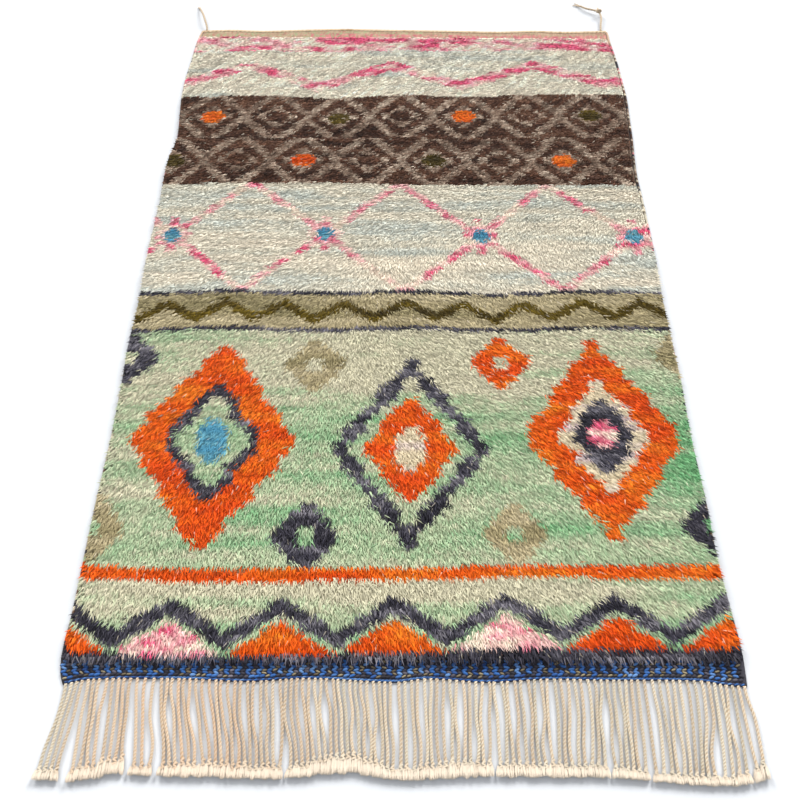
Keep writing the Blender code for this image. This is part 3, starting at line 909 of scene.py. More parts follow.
def nap(across, y):
    """How the pile leans at a place: degrees from straight to the foot, and + to the left."""
    heights, angles = zip(*NAP_ANGLES)
    columns = np.array([np.interp(y, heights, column) for column in zip(*angles)])
    place = np.interp(across, NAP_SHARES, np.arange(len(NAP_SHARES)))
    low = np.minimum(place.astype(int), len(NAP_SHARES) - 2)
    picked = np.arange(len(low))
    wander = (drift(across * 6.8, y / 0.20, 72) - 0.5) * NAP_WANDER
    return mix(columns[low, picked], columns[low + 1, picked], place - low) + wander


def wool_body(first, last):
    """The dense wool below the locks' points: a lumpy block, rounded off at the rug's edges."""
    rows, columns = BODY_STEPS, BODY_COLUMNS
    row, column = grid(rows + 1, columns + 1)
    share_up, across = row / rows, column / columns
    up = mix((first + 0.02) / PILE_ROWS, (last - 0.02) / PILE_ROWS, share_up)
    x, y = field_points(up, across, 0.0, PILE_SIDE_INSET + BODY_INSET)
    from_side = np.minimum(across, 1.0 - across) * BODY_WIDE
    from_end = np.minimum(up, 1.0 - up) * PILE_LONG
    away = np.clip(np.minimum(from_side, from_end) / BODY_EDGE, 0.0, 1.0)
    lumps = drift(x / BODY_LUMP_LONG, y / BODY_LUMP_LONG, 77) - 0.5
    floor = CLOTH_THICK + SEAT_GAP
    height = BODY_HEIGHT + lumps * BODY_LUMP_TALL
    rise = 0.0012 + height * np.sqrt(1.0 - (1.0 - away) ** 2)
    lean = np.radians(nap(across, y))
    # Its colours are darkened as painted shade under the locks
    wool = field_colours(x + np.sin(lean) * 0.016, y + np.cos(lean) * 0.016) * BODY_PAINTED_SHADE
    upper, rim = grid_faces(rows, columns)
    top = np.column_stack((x, y, floor + rise))
    low_rim = np.column_stack((x[rim], y[rim], np.full(len(rim), floor)))
    points = np.concatenate((top, low_rim, [[x.mean(), y.mean(), floor]]))
    below = len(top) + np.arange(len(rim))
    spots = np.column_stack((across, share_up))
    walls, wall_places = rim_walls(rim, below, spots, (0.004, 0.012))
    bottom = np.stack((np.full(len(rim), len(points) - 1), np.roll(below, -1), below), axis=1)
    under = np.concatenate((spots, spots[rim], [[0.5, 0.5]]))
    around = np.concatenate((spots[upper], wall_places))
    places = (cell(around, (0.004, 0.905), (0.99, 0.058)),
              cell(under[bottom], (0.004, 0.968), (0.99, 0.030)))
    # Its walls take a further painted shade
    colours = np.concatenate((wool, wool[rim] * 0.8, wool[:1]))
    return points, (np.concatenate((upper, walls)), bottom), colours, places


def tress(x, y):
    """Near the head the locks cling in slanting tresses, with painted light and shade by turns."""
    lean = math.radians(TRESS_LEAN)
    over = x * math.cos(lean) - y * math.sin(lean)
    onward = x * math.sin(lean) + y * math.cos(lean)
    return (drift(over / TRESS_WIDTH, onward / TRESS_LENGTH, 78) - 0.5) * TRESS_LIGHT_AND_SHADE


def lock_wool(seed, wool, knot_key, shadow, tressed, tip_xy):
    """Each lock's colour: uneven by knot and lock, painted shade in open rows, and a few hairs."""
    count = len(wool)
    knot_seed = np.random.default_rng(7)
    uneven = knot_seed.normal(0.0, KNOT_UNEVENNESS, PILE_ROWS * LOCKS_IN_ROW)[knot_key]
    uneven = uneven + seed.normal(0.0, LOCK_UNEVENNESS, count)
    value = 1.0 + uneven * (1 - 0.65 * tressed)
    # A few locks darkened as painted shadow between the locks
    painted_shadow_lock = seed.random(count) < PAINTED_SHADOW_LOCKS[0] - 0.040 * tressed
    value = np.where(painted_shadow_lock, value - PAINTED_SHADOW_LOCKS[1], value)
    dark = np.clip(1.0 - wool.mean(axis=1) / DARK_WOOL, 0.0, 1.0)
    uneven = seed.normal(0.0, DARK_UNEVENNESS, count)
    value += dark * (uneven + DARK_GLINTS[1] * (seed.random(count) < DARK_GLINTS[0]))
    vivid = np.clip(wool.max(axis=1) - wool.min(axis=1) - VIVID_WOOL, 0.0, 0.4)
    value += vivid * seed.normal(0.0, VIVID_UNEVENNESS, count)
    # Painted shade where the rows part, deeper in dark wool
    value += shadow * mix(0.3, 1.3, dark)
    # Painted light and shade along the tresses, and painted light over the whole head part
    value += (tress(*tip_xy.T) + 0.07) * tressed
    pale_hair = seed.random(count) < PALE_HAIRS
    wool = wool * np.clip(value, 0.5, 2.2)[:, None]
    wool = np.where(pale_hair[:, None], mix(wool, dyed(PALE_HAIR), 0.55), wool)
    return np.clip(wool, 0.0, 1.0)


def pile_rows(first, last):
    """The locks of some rows of knots as one shape."""
    seed = np.random.default_rng(100 + first)
    row, place = grid(last - first, LOCKS_IN_ROW)
    row = row + first
    count = len(row)
    knot = place // 2
    up = (row + 0.5) / PILE_ROWS
    across = (place + 0.5) / LOCKS_IN_ROW
    x, y = field_points(up, across, 0.0, PILE_SIDE_INSET)
    knot_x, _ = field_points(up, (2 * knot + 1.0) / LOCKS_IN_ROW, 0.0, PILE_SIDE_INSET)
    wool = field_colours(knot_x, y)
    ridged = np.interp(y, *zip(*RIDGE_BAND))
    tressed = np.interp(y, *zip(*TRESS_BAND))
    open_row = (drift(row * 0.52, x / 0.13, 71) - 0.5) * mix(0.35, 1.0, ridged)
    open_row = open_row * (1 - 0.7 * tressed)
    x = x + seed.uniform(-LOCK_SCATTER[0], LOCK_SCATTER[0], count)
    y = y + seed.uniform(-LOCK_SCATTER[1], LOCK_SCATTER[1], count) * (1 + tressed)
    y = y + open_row * ROW_PARTING
    scatter = seed.normal(0.0, NAP_SCATTER, count) * (1 - 0.5 * tressed)
    angle = np.radians(nap(across, y) + scatter)
    heading = np.column_stack((-np.sin(angle), -np.cos(angle)))
    droop = np.interp(row, *zip(*FOOT_DROOP))
    from_side = np.minimum(across, 1.0 - across) * PILE_WIDE
    splay = np.clip(1.0 - from_side / SPLAY_MARGIN, 0.0, 1.0)
    outward = np.where(across < 0.5, -1.0, 1.0) * splay * SPLAY
    lively = drift(x / 0.035, y / 0.030, 73)
    reach = 0.86 + 0.28 * seed.random(count) + 0.30 * open_row
    reach *= np.interp(y, *zip(*LOCK_REACH)) * (1.0 - 0.45 * splay)
    height = LOCK_HEIGHT * (0.86 + 0.18 * seed.random(count) + 0.12 * lively + 0.20 * open_row)
    height *= 1.0 - 0.30 * splay
    floor = CLOTH_THICK + SEAT_GAP
    roots = np.column_stack((x, y, np.full(count, floor)))
    belly_xy = np.column_stack((x, y)) + heading * (reach * 0.30)[:, None]
    belly_xy[:, 0] += outward * 0.55
    tip_xy = np.column_stack((x, y)) + heading * reach[:, None]
    tip_xy[:, 0] += outward
    bellies = np.column_stack((belly_xy, floor + height * mix(0.58, 0.80, droop)))
    tips = np.column_stack((tip_xy, floor + height * droop))
    width = LOCK_WIDTH * seed.uniform(0.85, 1.15, count)
    roll = seed.uniform(-0.6, 0.6, count)
    # Painted shade where the rows part
    shadow = np.clip(open_row + 0.06, -0.30, 0.0) * ROW_SHADE * ridged
    wool = lock_wool(seed, wool, row * LOCKS_IN_ROW + knot, shadow, tressed, tip_xy)
    corners = np.column_stack((place / LOCKS_IN_ROW, 0.9 * (row - first) / (last - first)))
    size = np.array((1.0 / LOCKS_IN_ROW, 0.9 / (last - first)))
    return locks(roots, bellies, tips, width, roll, wool, corners, size)


PILE_MATERIAL = yarn_material("pile_wool", (640.0, 70.0, 1.0), contrast=0.20, relief=0.0004,
                              combed=True)
for index, part in enumerate(PILE_PARTS):
    first = PILE_ROWS * index // len(PILE_PARTS)
    last = PILE_ROWS * (index + 1) // len(PILE_PARTS)
    shape = joined([wool_body(first, last), pile_rows(first, last)])
    pile = make_piece("pile_" + part, shape, PILE_MATERIAL, PILE_SOFTNESS)
    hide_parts("pile_field")


# The foot band
# A flat-woven end below the pile: wool wefts twined in slanted stitches, blue and charcoal by
# turns with a few dun ones, and closed along the fringe by a cord of one blue ply and one
# dark one.
BAND_THICK = 0.0030
BAND_BACK = 0.0001
BAND_GRID = (6, 90)
BAND_WEAVE = (0.0033, 0.0033, 0.0005)
BAND_ROWS = 6
BAND_SOFTNESS = 0.4
STITCH_PITCH = 0.0118
STITCH_SLANT = 20.0
STITCH_FOOT = 0.155
STITCH_SPAN = 0.80
STITCH_RAISED = 0.0009
STITCH_WIDE = 0.0032
STITCH_DUN_WIDE = 0.0022
# Half of a stitch's length and of its height, and how much either may vary
STITCH_BLUE = (0.0080, 0.0030)
STITCH_DARK = (0.0066, 0.0024)
STITCH_VARY = (0.9, 1.1)
BAND_CORD_RADIUS = 0.0028
BAND_CORD_TURN = 0.015
BAND_CORD_AT = 0.066
BAND_CORD_STEPS = 700
BAND_BLUES = ((34, 62, 116), (50, 97, 162), (100, 138, 188))
BAND_DARKS = ((34, 34, 42), (57, 56, 67), (118, 114, 126))
BAND_DUNS = ((80, 72, 58), (118, 106, 84), (152, 140, 114))
FOOT_EDGE = (
    (-0.745, -1.134),
    (-0.680, -1.122),
    (-0.480, -1.121),
    (-0.340, -1.127),
    (-0.210, -1.120),
    (-0.020, -1.129),
    (0.050, -1.121),
    (0.180, -1.129),
    (0.310, -1.122),
    (0.440, -1.124),
    (0.640, -1.126),
    (0.700, -1.136),
    (0.745, -1.139),
)


def foot_band_place(up, across):
    """A point of the foot band: share of the way up from its lower edge, and across."""
    top = PILE_FOOT_Y - GROUND_MARGIN - SEAT_GAP
    x = mix(SIDE_EDGES[0][1], SIDE_EDGES[0][2], across)
    y = mix(along(FOOT_EDGE, x), top, up)
    return mix(left_edge(y), right_edge(y), across), y


def dark_wool(x, _):
    """The band's own wefts, which show as one dark wool between the stitches."""
    return np.tile(dyed(BAND_DARKS[1]), (len(x), 1))


band_cloth = make_piece(
    "foot_band_cloth",
    sheet_shape(*BAND_GRID, foot_band_place, BAND_BACK, BAND_THICK, dark_wool, dark_wool),
    weave_material("band_ground", *BAND_WEAVE),
)
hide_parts("foot_band")

BEAD_SIDES = 6
BEAD_SHOULDER = 0.45
BEAD_CAP = 0.3


def beads(middles, heading, half_long, half_wide, half_high, colours, corners, size):
    """Plump stitches of yarn, each lying flat along its own heading."""
    count = len(middles)
    onward = np.column_stack((heading, np.zeros(count)))
    side = np.cross(UP, onward)
    around = np.arange(BEAD_SIDES) * 2 * math.pi / BEAD_SIDES + math.pi / BEAD_SIDES
    across = np.cos(around)[None, :, None] * side[:, None, :] * half_wide[:, None, None]
    upward = np.sin(around)[None, :, None] * UP[None, None, :] * half_high[:, None, None]
    rings = []
    for share in (-BEAD_SHOULDER, BEAD_SHOULDER):
        middle = middles + onward * (half_long * share)[:, None]
        rings.append(middle[:, None, :] + across + upward)
    reach = onward * half_long[:, None]
    ends = np.stack((middles - reach, middles + reach), axis=1)
    points = np.concatenate((*rings, ends), axis=1)
    offset = np.arange(count)[:, None, None] * points.shape[1]
    bead_faces, bead_places = tube_faces(2, BEAD_SIDES, BEAD_CAP)
    faces, places = [], []
    for group, spots in zip(bead_faces, bead_places):
        faces.append((group[None] + offset).reshape(-1, group.shape[1]))
        spots = spots.reshape(1, len(spots), -1, 2) * size + corners[:, None, None, :]
        places.append(spots.reshape(len(faces[-1]), -1))
    # Painted shade: each stitch lighter on top, darker below and at its ends
    ring_painted_shade = 0.62 + 0.38 * np.clip(np.sin(around), -0.3, 1.0)
    shade = np.concatenate((ring_painted_shade, ring_painted_shade, (0.5, 0.5)))
    painted = (colours[:, None, :] * shade[None, :, None]).reshape(-1, 3)
    return points.reshape(-1, 3), faces, painted, places


def twining():
    """The band's rows of stitches, leaning one way and the other by turns."""
    seed = np.random.default_rng(17)
    in_row = round((SIDE_EDGES[0][2] - SIDE_EDGES[0][1]) / STITCH_PITCH)
    row, stitch = grid(BAND_ROWS, in_row)
    count = len(row)
    up = STITCH_FOOT + (row + 0.5) / BAND_ROWS * STITCH_SPAN
    lean = drift(stitch / 9.0, row * 0.3, 81) * 0.9
    across = (stitch + 0.3 + 0.22 * (row % 2) + lean) / (in_row + 1.0)
    x, y = foot_band_place(up, across)
    light = np.clip(seed.random(count) * 0.7 + drift(x / 0.05, row * 0.5, 82) * 0.5 - 0.1, 0.0, 1.0)
    missed = seed.random(count) < 0.08
    blue = (stitch % 2 == 0) & (row > 0) & ~missed
    blue |= (row == 0) & (seed.random(count) < 0.30)
    wool = np.where(blue[:, None], shades(light, *BAND_BLUES), shades(light ** 1.6, *BAND_DARKS))
    dun = ~blue & (seed.random(count) < np.where(row < 3, 0.32, 0.14))
    wool = np.where(dun[:, None], shades(seed.random(count), *BAND_DUNS), wool)
    slant = np.where(row % 2 == 0, STITCH_SLANT, -STITCH_SLANT)
    slant = np.radians(slant + seed.normal(0.0, 7.0, count))
    heading = np.column_stack((np.cos(slant), np.sin(slant)))
    raised = BAND_THICK + STITCH_RAISED + seed.uniform(-0.0004, 0.0004, count)
    half_long = np.where(blue, STITCH_BLUE[0], STITCH_DARK[0]) * seed.uniform(*STITCH_VARY, count)
    half_wide = np.where(dun, STITCH_DUN_WIDE, STITCH_WIDE) * seed.uniform(*STITCH_VARY, count)
    half_high = np.where(blue, STITCH_BLUE[1], STITCH_DARK[1]) * seed.uniform(*STITCH_VARY, count)
    corners = np.column_stack((stitch / in_row, row * 0.9 / BAND_ROWS))
    return beads(np.column_stack((x, y, raised)), heading, half_long, half_wide, half_high,
                 wool, corners, np.array((1.0 / in_row, 0.9 / BAND_ROWS)))


def band_cord():
    """The two-ply cord along the band's lower edge, one ply blue and one nearly black."""
    share = np.linspace(0.004, 0.996, BAND_CORD_STEPS)
    x, y = foot_band_place(BAND_CORD_AT, share)
    route = np.column_stack((x, y, np.full(len(share), BAND_CORD_RADIUS + CLOTH_BACK)))
    points, faces, depth, places = plied(route, BAND_CORD_RADIUS, BAND_CORD_TURN)
    blue = shades(drift(x / 0.02, 0.5, 83), *BAND_BLUES)
    dark = shades(drift(x / 0.04, 0.5, 84), BAND_DARKS[1], BAND_BLUES[0], BAND_BLUES[2])
    plies = np.stack((blue, dark), axis=1).reshape(-1, 3)
    wool = painted_yarn(ringed(plies, len(PLY_ANGLES) // 2), depth)
    places = [cell(group, (0.01, 0.92), (0.98, 0.07)) for group in places]
    return points, faces, wool, places


BAND_MATERIAL = yarn_material("band_wool", FINE_HAIRS, contrast=0.25, relief=0.0003)
band_twining = make_piece("foot_band_twining", joined([twining(), band_cord()]), BAND_MATERIAL,
                          BAND_SOFTNESS)
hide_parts("foot_band")


# The head band
# A narrow plain-woven end between the pile and the heading cord: thick undyed wefts over the
# warps, with flecks of green and red-brown, and rows of rose dashes from the middle to the
# right.
HEADING_RADIUS = 0.005
HEAD_WEFTS = 5
HEAD_COLUMNS = 540
HEAD_THICK = 0.0032
WEFT_RAISED = 0.0012
HEAD_WOOLS = ((110, 84, 66), (154, 128, 104), (180, 156, 131))
HEAD_FLECKS = ((92, (137, 145, 106)), (89, (156, 98, 84)))
HEAD_SPECKS = ((120, 84, 66), (168, 118, 92))
HEAD_ROSES = ((150, 62, 78), (172, 98, 100), (190, 146, 128))
HEAD_EDGE = (
    (-0.740, 1.342),
    (-0.630, 1.347),
    (-0.510, 1.341),
    (-0.390, 1.347),
    (-0.230, 1.353),
    (-0.040, 1.347),
    (0.180, 1.341),
    (0.340, 1.335),
    (0.470, 1.341),
    (0.590, 1.335),
    (0.740, 1.340),
)


def head_band_place(up, across):
    """A point of the head band: share of the way up from the pile, and across."""
    inset = 2 * SELVEDGE_RADIUS + 3 * SEAT_GAP
    x = mix(SIDE_EDGES[-1][1], SIDE_EDGES[-1][2], across)
    low = pile_head(x) + GROUND_MARGIN + SEAT_GAP
    high = along(HEAD_EDGE, x) - 2 * HEADING_RADIUS - SEAT_GAP
    y = mix(low, high, up)
    return mix(left_edge(y) + inset, right_edge(y) - inset, across), y


def head_wool(x, y):
    """Undyed wefts with flecks of green and red-brown, specks by the pile and rose dashes."""
    low = pile_head(x)
    high = along(HEAD_EDGE, x) - 2 * HEADING_RADIUS
    up = (y - low) / (high - low)
    grain = drift(x / 0.0030, up * 9, 91) * 0.7 + drift(x / 0.05, up * 3, 90) * 0.3
    wool = shades(grain, *HEAD_WOOLS)
    rarer = (0.66 + 0.5 * np.clip(x + 0.1, 0.0, 0.5), 0.80)
    for (seed, colour), least in zip(HEAD_FLECKS, rarer):
        wool = lay(wool, drift(x / 0.004, up * 9, seed) > least, dyed(colour))
    specks = (drift(x / 0.0045, up * 7, 88) > 0.52) & (up < 0.18)
    wool = lay(wool, specks, shades(drift(x / 0.02, up, 87), *HEAD_SPECKS))
    dash = (drift(x / 0.006, up * 5, 93) > 0.42) & (np.abs(up - 0.45) < 0.17)
    dash &= x > mix(-0.60, -0.10, drift(x / 0.05, 0.5, 86))
    return lay(wool, dash, shades(drift(x / 0.008, up, 94), *HEAD_ROSES))


head_shape = sheet_shape(2 * HEAD_WEFTS, HEAD_COLUMNS, head_band_place, BAND_BACK,
                         HEAD_THICK, head_wool, head_wool)
weft_row, weft_column = grid(2 * HEAD_WEFTS + 1, HEAD_COLUMNS + 1)
over = np.where((weft_row // 2 + weft_column) % 2 == 0, 1.0, 0.35)
head_shape[0][:len(over), 2] += np.where(weft_row % 2 == 1, WEFT_RAISED * over, 0.0)
head_piece = make_piece("head_band_weave", head_shape,
                        yarn_material("head_band_wool", FINE_HAIRS))
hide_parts("head_band")


# The heading cord
# The warps' looped ends, twisted along the head edge into a soft two-ply cord of cream
# cotton, dusty brown in places.
HEADING_STEP = 0.0024
HEADING_TURN = 0.030
HEADING_FLAT = 0.75
HEADING_SOFTNESS = 0.85
HEADING_ENDS = (-0.7405, 0.7450)
HEADING_DIP = 0.0022
HEADING_CORNER = 0.014
HEADING_WOOLS = ((195, 169, 136), (209, 187, 156), (172, 141, 107))


def heading_shape():
    """The cord along the head edge, drawn in a little at both corners."""
    x = np.arange(HEADING_ENDS[0], HEADING_ENDS[1], HEADING_STEP)
    y = along(HEAD_EDGE, x) - HEADING_RADIUS
    from_corner = np.minimum(x - x[0], x[-1] - x)
    y -= HEADING_DIP * (1.0 - np.clip(from_corner / HEADING_CORNER, 0.0, 1.0)) ** 2
    route = np.column_stack((x, y, np.full(len(x), HEADING_RADIUS * HEADING_FLAT)))
    points, faces, depth, places = plied(route, HEADING_RADIUS, HEADING_TURN, flat=HEADING_FLAT)
    wool = shades(drift(x / 0.012, 0.5, 95), *HEADING_WOOLS)
    return points, faces, painted_yarn(ringed(wool, len(PLY_ANGLES)), depth, 0.10), places


heading = make_piece("heading_twist", joined([heading_shape()]), CORD_MATERIAL,
                     HEADING_SOFTNESS)
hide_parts("heading_cord")


# The selvedges
# Each side's outer warps are overcast together in close round wraps, from the foot band to
# the heading cord: mostly in the wool of the rows beside them, with odd ends between.
WRAP_PITCH = 0.0052
WRAP_STEPS = 3
WRAP_SIDES = 7
WRAP_WAIST = 0.80
WRAP_LEAN = 0.0016
WRAP_HEAD_WOOL = (206, 176, 148)
WRAP_HEAD_FROM = 0.955
WRAP_WOOLS = ((44, 43, 52), (146, 136, 120), (212, 200, 176), (204, 132, 134), (116, 90, 74))
WRAP_SHARES = (0.20, 0.08, 0.07, 0.03, 0.04)


def selvedge_shape(edge, inward, seed):
    """One side's wraps: a tube with a waist at each wrap, coloured wrap by wrap."""
    x, y = side_line(edge, GROUND_MARGIN, np.linspace(0.0, 1.0, 501))
    last_y = along(HEAD_EDGE, edge(SIDE_EDGES[-2][0])) - 2 * HEADING_RADIUS - 2 * SEAT_GAP
    more = np.linspace(y[-1], last_y, 12)[1:]
    x, y = np.concatenate((x, edge(more))), np.concatenate((y, more))
    run = np.concatenate(([0.0], np.cumsum(np.hypot(np.diff(x), np.diff(y)))))
    count = round(run[-1] / WRAP_PITCH) * WRAP_STEPS
    here = np.linspace(0.0, run[-1], count + 1)
    x, y = np.interp(here, run, x), np.interp(here, run, y)
    wrap, step = np.divmod(np.arange(count + 1), WRAP_STEPS)
    radius = SELVEDGE_RADIUS * np.where(step == 0, WRAP_WAIST, 1.0)[:, None]
    middle = np.column_stack((x + inward * SELVEDGE_RADIUS, y, np.full(count + 1, SELVEDGE_RADIUS)))
    around = -np.arange(WRAP_SIDES) * 2 * math.pi / WRAP_SIDES
    points = np.stack((
        middle[:, None, 0] + np.cos(around) * radius,
        middle[:, None, 1] + np.cos(around) * WRAP_LEAN * inward,
        middle[:, None, 2] + np.sin(around) * radius,
    ), axis=-1).reshape(-1, 3)
    points = np.concatenate((points, middle[:1], middle[-1:]))
    faces, places = tube_faces(count + 1, WRAP_SIDES)
    chance = np.random.default_rng(seed)
    wools = np.array([dyed(colour) for colour in WRAP_WOOLS])
    beside_x = x[::WRAP_STEPS] + inward * 0.016
    local = field_colours(beside_x, np.minimum(y[::WRAP_STEPS], PILE_HEAD_Y - 0.02)) * 0.82
    shares = (*WRAP_SHARES, 1.0 - sum(WRAP_SHARES))
    picked = chance.choice(len(shares), wrap[-1] + 1, p=shares)[np.arange(wrap[-1] + 1) // 2]
    odd_end = wools[np.minimum(picked, len(wools) - 1)]
    odd_end = odd_end * chance.uniform(0.7, 1.2, len(picked))[:, None]
    wool = np.where((picked == len(wools))[:, None], local, odd_end)
    near_head = np.clip((np.linspace(0.0, 1.0, len(wool)) - WRAP_HEAD_FROM) / 0.02, 0.0, 1.0)
    wool = mix(wool, dyed(WRAP_HEAD_WOOL), near_head[:, None])
    # Painted shade in each waist between the wraps
    shade = np.where(step == 0, 0.5, 1.0)
    return points, faces, ringed(wool[wrap] * shade[:, None], WRAP_SIDES), places


SIDE_MATERIAL = yarn_material("overcast_wool", COARSE_HAIRS, contrast=0.25)
for side, edge, inward, seed in (("left", left_edge, 1, 23), ("right", right_edge, -1, 29)):
    selvedge = make_piece("selvedge_wraps_" + side, joined([selvedge_shape(edge, inward, seed)]),
                          SIDE_MATERIAL)
    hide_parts("selvedge_" + side)


# The fringe
# The warps' cut ends below the foot band: two-ply cotton strands, cream with a peach cast at
# the left, each knotted near its end and brushed out below the knot into a soft flat edge.
STRAND_WIDTH = 0.0080
STRAND_HEIGHT = 0.0066
STRAND_RAISED = 0.0018
STRAND_ROOM = 0.0093
STRAND_TURN = 0.0165
STRAND_STEP = 0.0023
STRIP_GAP = 0.0007
STRAND_BEND = 0.10
STRAND_SWAY = 0.0009
STRAND_CURVE = 0.0125
KNOT_SWAY = 0.0045
# Warm painted shade down in the strands' grooves between plies
GROOVE_PAINTED_SHADE = np.array((0.24, 0.36, 0.50))
DUST_TINT = np.array((0.22, 0.34, 0.50))
STRAND_SOFTNESS = 0.4
ENDS_SOFTNESS = 0.88
STRAND_CREAM = (241, 232, 212)
STRAND_PEACH = (242, 214, 186)
KNOT_LINE = (
    (-0.765, -1.318),
    (-0.690, -1.314),
    (-0.590, -1.294),
    (-0.545, -1.309),
    (-0.460, -1.303),
    (-0.240, -1.309),
    (-0.125, -1.287),
    (-0.030, -1.312),
    (0.100, -1.303),
    (0.410, -1.309),
    (0.500, -1.322),
    (0.600, -1.328),
    (0.690, -1.326),
    (0.745, -1.306),
)
TIP_LINE = (
    (-0.765, -1.341),
    (-0.680, -1.343),
    (-0.590, -1.330),
    (-0.460, -1.335),
    (-0.240, -1.337),
    (-0.125, -1.327),
    (-0.030, -1.340),
    (0.100, -1.337),
    (0.410, -1.336),
    (0.530, -1.344),
    (0.640, -1.353),
    (0.690, -1.350),
    (0.745, -1.341),
)

# How the strands fall together: strands, first root, last root, first knot, last knot
FRINGE_GROUPS = (
    (4, -0.739, -0.703, -0.757, -0.721),
    (8, -0.692, -0.599, -0.689, -0.589),
    (3, -0.584, -0.548, -0.562, -0.531),
    (6, -0.532, -0.470, -0.503, -0.438),
    (14, -0.456, -0.273, -0.419, -0.260),
    (10, -0.260, -0.146, -0.238, -0.131),
    (9, -0.133, -0.032, -0.119, -0.026),
    (2, -0.014, 0.000, -0.010, 0.003),
    (13, 0.014, 0.182, 0.018, 0.176),
    (17, 0.195, 0.426, 0.198, 0.414),
    (6, 0.441, 0.507, 0.436, 0.497),
    (2, 0.522, 0.538, 0.518, 0.533),
    (8, 0.554, 0.660, 0.551, 0.638),
    (4, 0.674, 0.710, 0.660, 0.705),
    (2, 0.724, 0.738, 0.727, 0.742),
)


def keep_apart(places, room):
    """Move each strand on until it is clear of the one before it."""
    spaced = [places[0]]
    for place in places[1:]:
        spaced.append(max(place, spaced[-1] + room))
    return spaced


def strand_places():
    """The roots and the knots of all strands, from left to right."""
    seed = random.Random(11)
    roots = []
    knots = []
    for count, root_first, root_last, knot_first, knot_last in FRINGE_GROUPS:
        for index in range(count):
            t = index / (count - 1)
            roots.append(mix(root_first, root_last, t) + seed.uniform(-STRAND_SWAY, STRAND_SWAY))
            knots.append(mix(knot_first, knot_last, t) + seed.uniform(-STRAND_SWAY, STRAND_SWAY))
    return keep_apart(roots, STRAND_ROOM), keep_apart(knots, STRAND_ROOM)


ROOTS, KNOTS = strand_places()
KNOT_UNEVEN = np.random.default_rng(13).uniform(-KNOT_SWAY, KNOT_SWAY, len(KNOTS))


def strand_yarn(x, seed):
    """Cream cotton, with a peach cast on the left third and some browner strands."""
    peach = np.clip((-x - 0.15) / 0.25, 0.0, 1.0) * 0.62 + seed.uniform(-0.05, 0.45)
    peach *= np.clip((x + 0.73) / 0.05, 0.0, 1.0)
    plain = mix(dyed(STRAND_CREAM), dyed(STRAND_PEACH), np.clip(peach, 0.0, 1.0))
    return plain * seed.uniform(0.58, 0.71)


def strand_shapes():
    """The strands from the foot band to their knots, each on its own gentle curve."""
    seed = np.random.default_rng(37)
    shapes = []
    count = len(ROOTS)
    for index, (root, knot) in enumerate(zip(ROOTS, KNOTS)):
        root_y = along(FOOT_EDGE, root) - STRIP_GAP + 0.001
        knot_y = along(KNOT_LINE, knot) + KNOT_UNEVEN[index]
        steps = round((root_y - knot_y) / STRAND_STEP)
        reach = np.linspace(0.0, 1.0, steps + 1)
        t = np.clip((reach - STRAND_BEND) / (1 - STRAND_BEND), 0.0, 1.0)
        sway = STRAND_CURVE * (drift(reach * 2.4, index * 3.7, 97) - 0.5)
        sway *= np.sin(reach * math.pi) ** 0.7
        x = mix(root, knot, mix(t, t * t * (3 - 2 * t), 0.4)) + sway
        y = mix(root_y, knot_y, reach)
        z = np.full(len(x), STRAND_HEIGHT / 2 + STRAND_RAISED)
        route = np.column_stack((x, y, z))
        width = STRAND_WIDTH / 2 * seed.uniform(0.94, 1.0)
        flat = STRAND_HEIGHT / STRAND_WIDTH
        turn = -STRAND_TURN * seed.uniform(0.85, 1.2)
        points, faces, depth, places = plied(route, width, turn, seed.uniform(0, 3), flat)
        yarn = strand_yarn(root, seed)
        dusty = np.clip((reach - 0.86) / 0.14, 0.0, 1.0) * seed.uniform(0.0, 0.5)
        wool = yarn[None, :] * (1 - dusty[:, None] * DUST_TINT)
        wool = painted_yarn(ringed(wool, len(PLY_ANGLES)), depth, GROOVE_PAINTED_SHADE)
        places = [cell(group, (index / count, 0.0), (0.96 / count, 1.0)) for group in places]
        shapes.append((points, faces, wool, places))
    return joined(shapes)


strands = make_piece("fringe_strands", strand_shapes(), CORD_MATERIAL, STRAND_SOFTNESS)
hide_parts("fringe")

KNOT_LOOPS = ((0.50, 0.0045), (-0.45, 0.0), (0.42, -0.0045))
KNOT_SIZE = (0.0026, 0.0023, 0.0023)
KNOT_HEIGHT = 0.0048
ENDS_YARN = (240, 224, 204)
FAN_LOCKS = 34
FAN_LOCK_WIDTH = 0.0034
# Painted shade along each fan lock, a little darker at the root
FAN_PAINTED_SHADE = (0.92, 1.0, 1.0, 1.02)
FAN_TOGETHER = 0.021
FAN_OVERLAP = 0.72
FAN_FREE_SIDES = (0.0105, 0.0075)
FAN_ROOT_HEIGHTS = (0.0030, 0.0066)
FAN_BELLY_HEIGHTS = (0.0035, 0.0101)
FAN_TIP_HEIGHTS = (0.0034, 0.0106)
FAN_COLUMNS = 6


